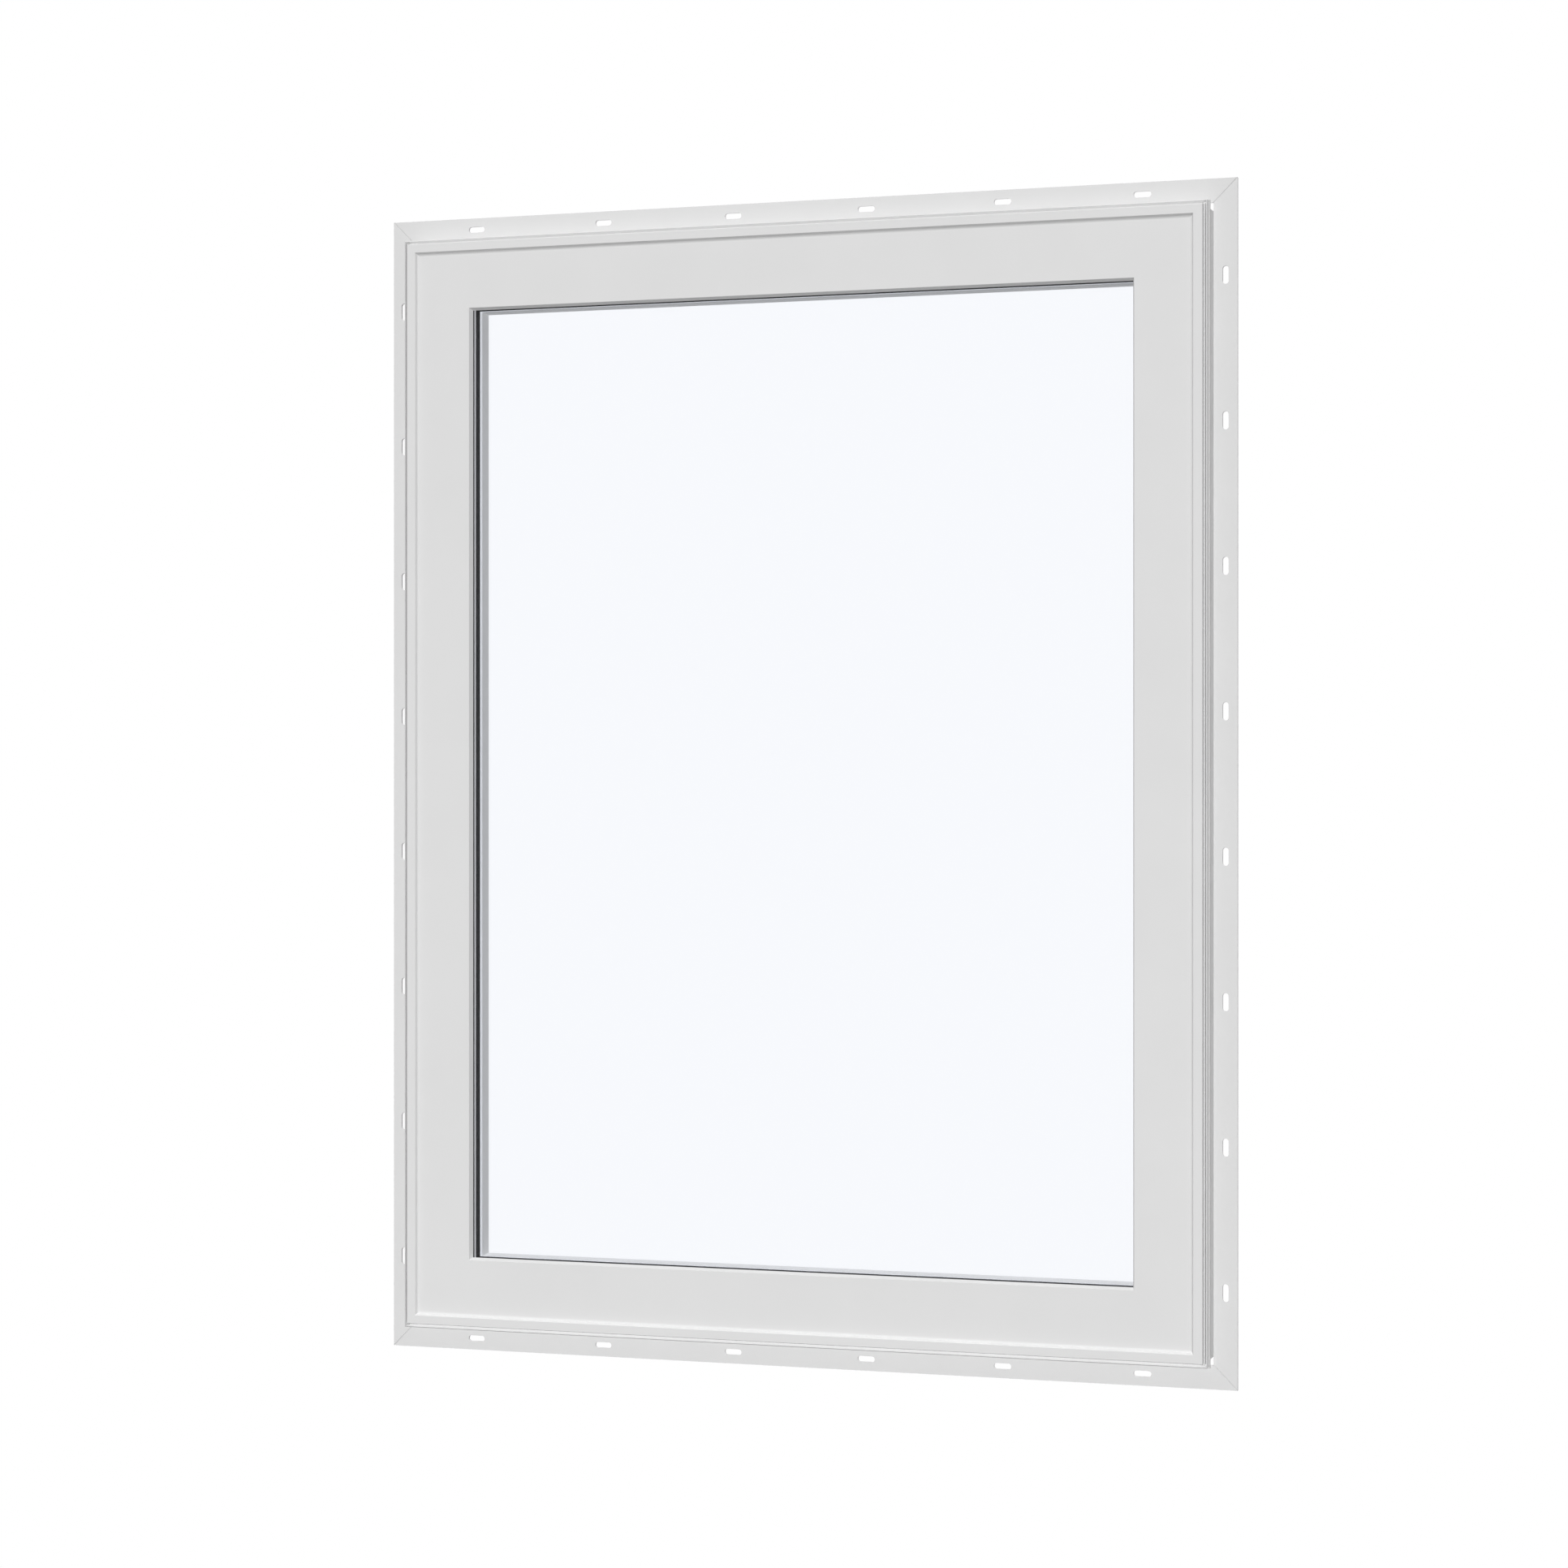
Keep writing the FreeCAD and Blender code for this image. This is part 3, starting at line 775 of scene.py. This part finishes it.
def break_edges(piece: Object, plain: float, mitred: float) -> None:
    """Bevel the sharp edges of a piece.

    Args:
        piece: The piece.
        plain: Width of the bevel, in millimetres.
        mitred: Its width on the mitred ends that look down, so that two ends meet in a fine groove.
    """
    apply_modifiers(piece)
    widest = max(plain, mitred)
    with edited(piece) as shape:
        bmesh.ops.remove_doubles(shape, verts=shape.verts, dist=WELD_GAP)
        weight = shape.edges.layers.float.new("bevel_weight_edge")
        for edge in shape.edges:
            if edge.calc_face_angle(0.0) > SHARP_OVER:
                edge[weight] = (mitred if on_mitre(edge) else plain) / widest
    bevel = piece.modifiers.new("edge_break", "BEVEL")
    bevel.width = widest * MM
    bevel.segments = BREAK_FACETS
    bevel.limit_method = "WEIGHT"
    bevel.use_clamp_overlap = False


def settle(piece: Object, fill: bool = False) -> None:
    """Turn a piece's modifiers into a plain mesh with clean, even shading.

    Args:
        piece: The piece.
        fill: True to close its open ends, which have four sides.
    """
    apply_modifiers(piece)
    with edited(piece) as shape:
        bmesh.ops.remove_doubles(shape, verts=shape.verts, dist=WELD_GAP)
        if fill:
            bmesh.ops.holes_fill(shape, edges=shape.edges, sides=4)
        bmesh.ops.recalc_face_normals(shape, faces=shape.faces)
    piece.data.shade_smooth()
    piece.data.set_sharp_from_angle(angle=SMOOTH_UNDER)
    shading = piece.modifiers.new("flat_faces", "WEIGHTED_NORMAL")
    shading.weight = FACE_WEIGHT
    shading.keep_sharp = True
    apply_modifiers(piece)


def join(piece: Object, other: Object) -> None:
    """Move the mesh of another object into a piece, and remove the other object.

    Args:
        piece: The piece that is kept.
        other: The object that is taken in.
    """
    with edited(piece) as shape:
        shape.from_mesh(other.data)
    bpy.data.objects.remove(other)


def slab(name: str, centre: Vector, half: Vector, edge: float, facets: int, finish: Material) -> Object:
    """Make a block of one material with broken edges.

    Args:
        name: Name of the piece.
        centre: Its middle, in millimetres.
        half: Half of its size, in millimetres.
        edge: Width of the edge break, in millimetres.
        facets: Facets of the edge break.
        finish: Its material.

    Returns:
        The piece, as a plain mesh.
    """
    piece = mesh_object(name, bpy.data.meshes.new(name))
    piece.data.materials.append(finish)
    place = Matrix.LocRotScale(centre * MM, None, half * MM)
    cut = {"offset": edge * MM, "segments": facets, "affect": "EDGES", "profile": ROUND_PROFILE}
    with edited(piece) as shape:
        bmesh.ops.create_cube(shape, size=2.0)
        bmesh.ops.transform(shape, verts=shape.verts, matrix=place)
        bmesh.ops.bevel(shape, geom=shape.edges[:], **cut)
    settle(piece)
    return piece


def hand_over(piece: Object, slot: Slot, nodes: Sequence[str] = ()) -> None:
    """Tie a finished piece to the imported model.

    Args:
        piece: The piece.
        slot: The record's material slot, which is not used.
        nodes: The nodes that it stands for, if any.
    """
    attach(piece, BODY)
    if nodes:
        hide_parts(*nodes)
    LOG.info("%s: %d faces for %s", piece.name, len(piece.data.polygons), ", ".join(nodes) or "no node")


def node_names(kind: str) -> list[str]:
    """The four node names of one kind of bar."""
    return [f"{kind}_{side.value}" for side in Side]


@dataclass
class WeldedFrame:
    """Outer frame of extruded PVC, welded at its corners into one piece."""

    shop: BarShop
    finish: Material
    wall: float = 5.1
    front_wall: float = 4.1
    kerf_floor: float = 11.1
    kerf_front: float = -12.65
    kerf_back: float = -9.35
    ledge: float = -28.4
    band_outer: float = 5.2
    band_inner: float = 15.5
    band_front: float = -35.6
    band_edge: float = 0.6
    step_inner: float = 16.6
    step_foot: float = -32.0
    cove_inner: float = 19.3
    cove_steps: int = 5
    face: float = -31.0
    opening: float = 78.88
    nose: float = -24.3
    nose_tip: float = 81.13
    sight: float = 79.2
    stop_seat: float = -20.0
    rebate: float = 63.2
    snap_floor: float = 59.2
    snap_front: float = 13.85
    snap_back: float = 17.15
    back: float = 47.0
    back_edge: float = 1.0
    soft: float = 0.35
    crisp: float = 0.15

    def cove(self) -> list[Corner]:
        """Draw the hollow at the foot of the step, which flattens out into the main face.

        Returns:
            Its corners, from the step on.
        """
        width, rise = self.cove_inner - self.step_inner, self.face - self.step_foot
        shares = [step / self.cove_steps for step in range(1, self.cove_steps + 1)]
        return [Corner(self.step_inner + width * s, self.face - rise * (1 - s) ** 2) for s in shares]

    def section(self) -> list[Corner]:
        """Draw the frame's section.

        Returns:
            Its corners, from the indoor one round the outdoor face to the glazing rebate.
        """
        soft, crisp = self.soft, self.crisp
        return [
            Corner(self.wall, self.back - self.back_edge, soft),
            Corner(self.wall, self.kerf_back, crisp),
            Corner(self.kerf_floor, self.kerf_back),
            Corner(self.kerf_floor, self.kerf_front),
            Corner(self.front_wall, self.kerf_front, crisp),
            Corner(self.front_wall, self.ledge, crisp),
            Corner(self.band_outer, self.ledge, crisp),
            Corner(self.band_outer, self.band_front + self.band_edge, soft),
            Corner(self.band_outer + self.band_edge, self.band_front, soft),
            Corner(self.band_inner - self.band_edge, self.band_front, soft),
            Corner(self.band_inner, self.band_front + self.band_edge, soft),
            Corner(self.step_inner, self.step_foot, crisp),
            *self.cove(),
            Corner(self.opening, self.face, soft),
            Corner(self.nose_tip, self.nose, soft),
            Corner(self.sight, self.stop_seat, crisp),
            Corner(self.rebate, self.stop_seat, crisp),
            Corner(self.rebate, self.snap_front, crisp),
            Corner(self.snap_floor, self.snap_front),
            Corner(self.snap_floor, self.snap_back),
            Corner(self.rebate, self.snap_back, crisp),
            Corner(self.rebate, self.back - self.back_edge, soft),
            Corner(self.rebate - self.back_edge, self.back, soft),
            Corner(self.wall + self.back_edge, self.back, soft),
        ]

    def build(self) -> None:
        """Make the frame and hand it over."""
        piece = self.shop.ring("welded_frame", self.section(), self.finish)
        hand_over(piece, Slot.FRAME, node_names("frame"))


@dataclass
class NailingFins:
    """Four fins that clip into the frame, each with a slotted flange, a leg with a lip and a tongue."""

    shop: BarShop
    finish: Material
    flange: float = 25.4
    thick: float = 3.0
    leg: float = 2.0
    lip_front: float = -32.0
    lip_outer: float = 0.85
    lip_break: float = 0.75
    shoulder: float = -24.3
    tongue_front: float = -12.5
    tongue_back: float = -9.5
    tongue_end: float = 10.95
    notch_front: float = -19.3
    notch_length: float = 10.0
    slot_row: float = -12.7
    slot_length: float = 19.05
    slot_width: float = 6.35
    slot_pitch: float = 152.4
    level_slots: int = 6
    upright_slots: int = 8
    overrun: float = 3.0
    mitre_gap: float = 0.1
    mitre_edge: float = 0.85
    edge: float = 0.1

    def section(self) -> list[Corner]:
        """Draw the fin's section.

        Returns:
            Its corners, from the flange's edge round the leg and the tongue.
        """
        return [
            Corner(-self.flange, 0.0),
            Corner(self.leg, 0.0),
            Corner(self.leg, self.tongue_back),
            Corner(self.tongue_end, self.tongue_back),
            Corner(self.tongue_end, self.tongue_front),
            Corner(self.leg, self.tongue_front),
            Corner(self.leg, self.lip_front),
            Corner(self.lip_outer + self.lip_break, self.lip_front),
            Corner(self.lip_outer, self.lip_front + self.lip_break),
            Corner(self.lip_outer, self.shoulder),
            Corner(0.0, self.shoulder),
            Corner(0.0, -self.thick),
            Corner(-self.flange, -self.thick),
        ]

    def cuts(self, length: float, count: int) -> dict[str, Any]:
        """Work out the sizes and places of the cuts in one fin.

        Args:
            length: The fin's length between the reference planes.
            count: How many slots it has.

        Returns:
            Inputs of the fin's tree, in metres.
        """
        reach = self.tongue_end + self.overrun
        size = Vector((reach, self.overrun - self.notch_front, self.notch_length + self.overrun))
        middle = Vector((reach / 2, (self.overrun + self.notch_front) / 2, 0))
        end = Vector((0, 0, (length + self.overrun - self.notch_length) / 2))
        start = Vector((self.slot_row, -self.thick / 2, -(count - 1) * self.slot_pitch / 2))
        return {
            "Slot Count": count,
            "Slot Start": start * MM,
            "Slot Pitch": Vector((0, 0, self.slot_pitch)) * MM,
            "Slot Radius": self.slot_width / 2 * MM,
            "Slot Run": (self.slot_length - self.slot_width) / 2 * MM,
            "Cut Depth": (self.thick + 2 * self.overrun) * MM,
            "Notch Size": size * MM,
            "Notch Low": (middle - end) * MM,
            "Notch High": (middle + end) * MM,
        }

    def build(self) -> None:
        """Make the four fins and hand them over."""
        for side in Side:
            name = f"fin_{side.value}"
            count = self.level_slots if side.level else self.upright_slots
            cuts = self.cuts(self.shop.outline.length(side), count)
            piece = self.shop.bar(name, self.section(), side, self.finish, self.mitre_gap, cuts)
            break_edges(piece, self.edge, self.mitre_edge)
            settle(piece)
            hand_over(piece, Slot.FIN, [f"nailing_fin_{side.value}"])


@dataclass
class GlazingBeads:
    """Four snap-in beads that hold the glass from indoors, mitred at their corners."""

    shop: BarShop
    finish: Material
    base: float = 63.35
    front: float = 6.0
    edge_front: float = 79.3
    tip: float = 80.6
    crest: float = 21.0
    crest_break: float = 1.0
    heel: float = 28.8
    foot_end: float = 59.35
    foot_front: float = 14.0
    foot_back: float = 17.0
    soft: float = 0.5
    joint: float = 0.25

    def section(self) -> list[Corner]:
        """Draw the bead's section.

        Returns:
            Its corners, from the outdoor face round the crest to the foot.
        """
        soft = self.soft
        return [
            Corner(self.base, self.front),
            Corner(self.edge_front, self.front, soft),
            Corner(self.tip, self.crest, soft),
            Corner(self.tip - self.crest_break, self.crest + self.crest_break, soft),
            Corner(self.base, self.heel),
            Corner(self.base, self.foot_back),
            Corner(self.foot_end, self.foot_back),
            Corner(self.foot_end, self.foot_front),
            Corner(self.base, self.foot_front),
        ]

    def build(self) -> None:
        """Make the four beads and hand them over."""
        for side in Side:
            piece = self.shop.bar(f"bead_{side.value}", self.section(), side, self.finish)
            break_edges(piece, self.joint, self.joint)
            settle(piece)
            hand_over(piece, Slot.BEAD, [f"glazing_bead_{side.value}"])


@dataclass
class GlassUnit:
    """Sealed double glazing with its gasket, its inner seal and the blocks that it stands on."""

    shop: BarShop
    finishes: Mapping[Slot, Material]
    sealant: Material
    sight: float = 79.2
    edge: float = 67.2
    rebate: float = 63.2
    front: float = -16.0
    pane: float = 4.8
    cavity: float = 11.0
    arris: float = 0.6
    arris_facets: int = 1
    gasket_edge: float = 72.6
    gasket_seat: float = -20.0
    gasket_lip: float = 1.2
    heel_soft: float = 0.3
    bend_soft: float = 0.5
    lip_soft: float = 0.4
    seal_edge: float = 71.3
    seal_inner: float = 79.3
    seal_thick: float = 1.4
    band_soft: float = 0.4
    plate: float = 0.4
    butyl: float = 0.3
    pitch: float = 4.0
    hole: float = 0.9
    hole_row: float = 2.0
    hole_sides: int = 8
    block_length: float = 100.0
    block_share: float = 0.25
    block_edge: float = 0.8
    block_facets: int = 3

    def build(self) -> None:
        """Make the panes, the rings round them and the blocks, and hand them over."""
        self._panes()
        back = self.front + 2 * self.pane + self.cavity
        tape = self._band(self.seal_edge, self.seal_inner, back, self.seal_thick)
        rings = {Slot.GASKET: ("outer_gasket", self._gasket()), Slot.SEAL: ("inner_seal", tape)}
        for slot, (name, section) in rings.items():
            piece = self.shop.ring(name, section, self.finishes[slot])
            hand_over(piece, slot, node_names(name))
        self._spacer()
        self._sealant()
        self._blocks()

    def _band(self, outer: float, inner: float, front: float, thick: float) -> list[Corner]:
        """Draw the section of a flat band that lies on a pane, with air at its faces.

        Args:
            outer: Its inset at the frame.
            inner: Its inset at the daylight.
            front: Depth of its outdoor face.
            thick: Its thickness.

        Returns:
            The corners.
        """
        near, far = front + CONTACT_GAP, front + thick - CONTACT_GAP
        soft = min(self.band_soft, thick / 4)
        edge = [Corner(inner, near, soft), Corner(inner, far, soft)]
        return [Corner(outer, near), *edge, Corner(outer, far)]

    def _gasket(self) -> list[Corner]:
        """Draw the gasket's section: a heel under the frame's stop and a rounded lip on the glass.

        Returns:
            The corners.
        """
        seat, glass = self.gasket_seat + CONTACT_GAP, self.front - CONTACT_GAP
        return [
            Corner(self.gasket_edge, seat),
            Corner(self.sight - self.gasket_lip / 2, seat, self.heel_soft),
            Corner(self.sight, seat + self.gasket_lip, self.bend_soft),
            Corner(self.sight, glass, self.lip_soft),
            Corner(self.gasket_edge, glass),
        ]

    def _panes(self) -> None:
        """Make both panes as sheets with ground edges."""
        outline, finish = self.shop.outline, self.finishes[Slot.GLASS]
        half = Vector((outline.width / 2 - self.edge, self.pane / 2, outline.height / 2 - self.edge))
        fronts = {"outer_pane": self.front, "inner_pane": self.front + self.pane + self.cavity}
        for name, front in fronts.items():
            centre = Vector((0, front + self.pane / 2, outline.middle))
            piece = slab(f"{name}_glass", centre, half, self.arris, self.arris_facets, finish)
            hand_over(piece, Slot.GLASS, [name])

    def _blocks(self) -> None:
        """Make the two blocks under the glass."""
        outline, finish = self.shop.outline, self.finishes[Slot.BLOCK]
        reach = (outline.width - 2 * self.edge) * self.block_share
        deep = 2 * self.pane + self.cavity
        high = self.edge - self.rebate
        half = Vector((self.block_length, deep, high)) / 2 - Vector((0, 0, CONTACT_GAP))
        for name, way in (("setting_block_left", -1), ("setting_block_right", 1)):
            centre = Vector((way * reach, self.front + deep / 2, outline.sill + self.rebate + high / 2))
            piece = slab(f"{name}_rubber", centre, half, self.block_edge, self.block_facets, finish)
            hand_over(piece, Slot.BLOCK, [name])

    def _sealant(self) -> None:
        """Make the two beads of sealant that hold the spacer to the panes."""
        front, inner = self.front + self.pane, self.sight - self.plate
        depths = {"edge_sealant": front, "indoor_sealant": front + self.cavity - self.butyl}
        beads = [
            self.shop.ring(name, self._band(self.edge, inner, depth, self.butyl), self.sealant)
            for name, depth in depths.items()
        ]
        join(*beads)
        hand_over(beads[0], Slot.SPACER)

    def _spacer(self) -> None:
        """Make the spacer: a bar round the cavity, faced by a perforated strip on its daylight side."""
        shop, finish = self.shop, self.finishes[Slot.SPACER]
        front, inner = self.front + self.pane, self.sight - self.plate
        bar = self._band(self.edge, inner, front + self.butyl, self.cavity - 2 * self.butyl)
        piece = shop.ring("glass_spacer", bar, finish)
        strip = mesh_object("glass_spacer_strip", self._plate(front + self.cavity / 2))
        values: dict[str, Any] = {**shop.outline.ring_values(), "Material": finish}
        for word, side in (("Level", Side.HEAD), ("Upright", Side.LEFT_JAMB)):
            run = shop.outline.length(side) - 2 * self.sight
            count = round(run / self.pitch)
            pitch = run / count
            values[f"{word} Count"] = count
            values[f"{word} Start"] = Vector((0, 0, -(count - 1) * pitch / 2)) * MM
            values[f"{word} Pitch"] = Vector((0, 0, pitch)) * MM
        shop.strips.put_on(strip, values)
        settle(strip, fill=True)
        join(piece, strip)
        hand_over(piece, Slot.SPACER, node_names("glass_spacer"))

    def _plate(self, middle: float) -> Mesh:
        """Make one length of the perforated strip, one metre long so that its pitch is its scale.

        Args:
            middle: Depth of the cavity's middle.

        Returns:
            A thin plate with two holes, open at both ends.
        """
        wide, run = self.cavity / 2 - CONTACT_GAP, 0.5
        rim = [(-wide, -run), (wide, -run), (wide, run), (-wide, run)]
        radius, stretch = self.hole / 2, 1 / self.pitch
        angles = [2 * math.pi * (k + 0.5) / self.hole_sides for k in range(self.hole_sides)]
        loops = [rim]
        for row in (-self.hole_row, self.hole_row):
            loops.append([(row + radius * math.cos(a), radius * math.sin(a) * stretch) for a in angles])
        flat = [point for loop in loops for point in loop]
        size = len(flat)
        faces_at = (self.sight - self.plate, self.sight)
        vertices = [(x * MM, (middle + y) * MM, z) for x in faces_at for y, z in flat]
        caps = tessellate_polygon([[Vector((y, z, 0)) for y, z in loop] for loop in loops])
        faces = [tuple(c) for c in caps] + [tuple(i + size for i in reversed(c)) for c in caps]
        # The plate's two long edges, and then the walls of its holes.
        faces += [(1, 2, 2 + size, 1 + size), (3, 0, size, 3 + size)]
        first = len(rim)
        for loop in loops[1:]:
            ring = range(first, first + len(loop))
            faces += [(i, j, j + size, i + size) for i, j in zip(ring, [*ring[1:], ring[0]])]
            first += len(loop)
        mesh = bpy.data.meshes.new("perforated_plate")
        mesh.from_pydata(vertices, [], faces)
        return mesh


@dataclass
class PhotoCamera:
    """Camera at the photograph's viewing angle: level, at the window's middle height, from the right."""

    place: Point3 = (1207.4, -3690.5, 622.3)
    heading: float = 18.375
    lens: float = 81.81

    def build(self) -> None:
        """Make the camera and give it to the scene."""
        data = bpy.data.cameras.new("photo_camera")
        data.lens = self.lens
        camera = bpy.data.objects.new("photo_camera", data)
        camera.location = Vector(self.place) * MM
        camera.rotation_euler = (math.pi / 2, 0, math.radians(self.heading))
        bpy.context.scene.collection.objects.link(camera)
        bpy.context.scene.camera = camera


@dataclass
class Studio:
    """Soft light from all round, with more from above, in front and behind, and a pale floor.

    A lamp's vector points to the lamp, and its length is the brightness of a surface that faces it.
    """

    ambient: float = 0.3
    key: Point3 = (0.14, -0.69, 0.58)
    low: Point3 = (0.0, 0.0, -0.1)
    left: Point3 = (-0.07, 0.0, 0.0)
    back: Point3 = (0.0, 0.62, 0.0)
    lamp_angle: float = 30.0
    floor_level: float = -750.0
    floor_half: float = 1300.0
    # The floor is paler to look at than in the light that it throws back.
    floor_colour: str = "#F3F3F2"
    floor_bounce: str = "#A6A6A6"
    floor_grain: float = 90.0
    floor_smooth: float = 0.7
    floor_rough: float = 0.9
    floor_gloss: float = 0.2
    floor_fade: float = 0.6

    def build(self) -> None:
        """Make the lamps, the world and the floor, and set the view."""
        bpy.context.scene.view_settings.view_transform = "Standard"
        lamps = {"key": self.key, "low": self.low, "left": self.left, "back": self.back}
        for name, towards in lamps.items():
            self._lamp(f"{name}_light", Vector(towards))
        self._world()
        self._floor()

    def _lamp(self, name: str, towards: Vector) -> None:
        """Add a broad, distant lamp.

        Args:
            name: Its name.
            towards: The lamp's vector.
        """
        data = bpy.data.lights.new(name, "SUN")
        data.energy = towards.length * math.pi
        data.angle = math.radians(self.lamp_angle)
        data.use_shadow = False
        lamp = bpy.data.objects.new(name, data)
        lamp.rotation_euler = towards.to_track_quat("Z", "Y").to_euler()
        lamp.visible_glossy = False
        bpy.context.scene.collection.objects.link(lamp)

    @staticmethod
    def _seen(tree: NodeTree) -> Node:
        """Tell what is looked at, straight or in a mirror or through glass, from what only gives light.

        Args:
            tree: The tree that asks.

        Returns:
            A node that gives 1 for rays that look.
        """
        rays = add(tree, "ShaderNodeLightPath").outputs
        straight = {0: rays["Is Camera Ray"], 1: rays["Is Glossy Ray"]}
        looks = add(tree, "ShaderNodeMath", straight, operation="MAXIMUM")
        through = {0: looks, 1: rays["Is Transmission Ray"]}
        return add(tree, "ShaderNodeMath", through, operation="MAXIMUM")

    def _world(self) -> None:
        """Make a world that is white to look at, and lights the window at the ambient level."""
        world = bpy.data.worlds.new("white_studio")
        bpy.context.scene.world = world
        world.use_nodes = True
        tree = world.node_tree
        tree.nodes.clear()
        light = add(tree, "ShaderNodeBackground", {"Color": linear(WHITE), "Strength": self.ambient})
        white = add(tree, "ShaderNodeBackground", {"Color": linear(WHITE), "Strength": 1.0})
        both = add(tree, "ShaderNodeMixShader", {0: self._seen(tree), 1: light, 2: white})
        add(tree, "ShaderNodeOutputWorld", {"Surface": both})

    def _floor(self) -> None:
        """Make a pale floor, below what the photograph shows, that fades to white at its rim."""
        half, level = self.floor_half * MM, self.floor_level * MM
        mesh = bpy.data.meshes.new("studio_floor")
        corners = ((-half, -half), (half, -half), (half, half), (-half, half))
        mesh.from_pydata([(x, y, level) for x, y in corners], [], [(0, 1, 2, 3)])
        mesh.materials.append(self._paint())
        mesh_object("studio_floor", mesh)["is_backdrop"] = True

    def _paint(self) -> Material:
        """Make the floor's material.

        Returns:
            The material.
        """
        # To the eye it is matt off-white paint, rolled on, that fades into the background.
        material, tree = blank_material("painted_floor")
        spot = add(tree, "ShaderNodeTexCoord").outputs["Object"]
        grain = add(tree, "ShaderNodeTexNoise", {"Vector": spot, "Scale": 1 / (self.floor_grain * MM)})
        span = {"To Min": self.floor_smooth, "To Max": self.floor_rough}
        sheen = add(tree, "ShaderNodeMapRange", {"Value": grain, **span})
        seen = self._seen(tree)
        ends = {6: linear(self.floor_bounce), 7: linear(self.floor_colour)}
        colour = add(tree, "ShaderNodeMix", {0: seen, **ends}, data_type="RGBA").outputs[2]
        skin = {"Base Color": colour, "Roughness": sheen, "Specular IOR Level": self.floor_gloss}
        paint = add(tree, "ShaderNodeBsdfPrincipled", skin)
        wide = 1 / (self.floor_half * MM)
        spread = add(tree, "ShaderNodeMapping", {"Vector": spot, "Scale": (wide, wide, 0)})
        pool = add(tree, "ShaderNodeTexGradient", {"Vector": spread}, gradient_type="SPHERICAL")
        span = {"Value": pool.outputs[1], "From Max": self.floor_fade, "To Min": 1.0, "To Max": 0.0}
        rim = add(tree, "ShaderNodeMapRange", span, interpolation_type="SMOOTHSTEP")
        fade = add(tree, "ShaderNodeMath", {0: rim, 1: seen}, operation="MULTIPLY")
        white = add(tree, "ShaderNodeEmission", {"Color": linear(WHITE), "Strength": 1.0})
        both = add(tree, "ShaderNodeMixShader", {0: fade, 1: paint, 2: white})
        add(tree, "ShaderNodeOutputMaterial", {"Surface": both})
        return material


def write_sizes() -> None:
    """Work out the CAD box and the visual model's box as plain lists of numbers, without keeping them.
    """
    boxes = {"cad": CAD_BOX, "visual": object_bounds()}
    {name: [list(corner) for corner in box] for name, box in boxes.items()}


def main() -> None:
    """Build the window and its studio."""
    logging.basicConfig(level=logging.INFO, format="%(name)s: %(message)s")
    LOG.info("%d nodes in the frame", len(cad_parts))
    PhotoCamera().build()
    shop = BarShop(Outline())
    pvc = ExtrudedPvc().make()
    # The filled plastic is darker than the gasket's rubber, with hardly any gloss.
    filled = Polymer("filled_polypropylene", "#1A1A1C", "#232326", roughness=0.8, gloss=0.05)
    finishes = {
        # Extruded and moulded rubber: near black, with a powdery grain.
        Slot.GASKET: Polymer("epdm_rubber", "#3C3C3D", "#464647"),
        Slot.BLOCK: Polymer("neoprene", "#1D1D1E", "#2C2C2D"),
        Slot.SPACER: filled,
        Slot.SEAL: FoamTape(),
        Slot.GLASS: FloatGlass(),
    }
    materials = {slot: finish.make() for slot, finish in finishes.items()}
    # Butyl that was squeezed out warm: a light grey, rubbery line.
    sealant = Polymer("butyl_sealant", "#B6B6B8", "#C4C4C6").make()
    # The fins' PVC is painted a little darker than the frame's: painted shade that offsets the light
    # that the legs throw back onto the fins.
    fin_pvc = ExtrudedPvc("extruded_fin_pvc_painted_shade", "#D7D7D7", "#DBDBDB").make()
    WeldedFrame(shop, pvc).build()
    NailingFins(shop, fin_pvc).build()
    GlazingBeads(shop, pvc).build()
    GlassUnit(shop, materials, sealant).build()
    Studio().build()
    write_sizes()


if __name__ == "__main__":
    main()
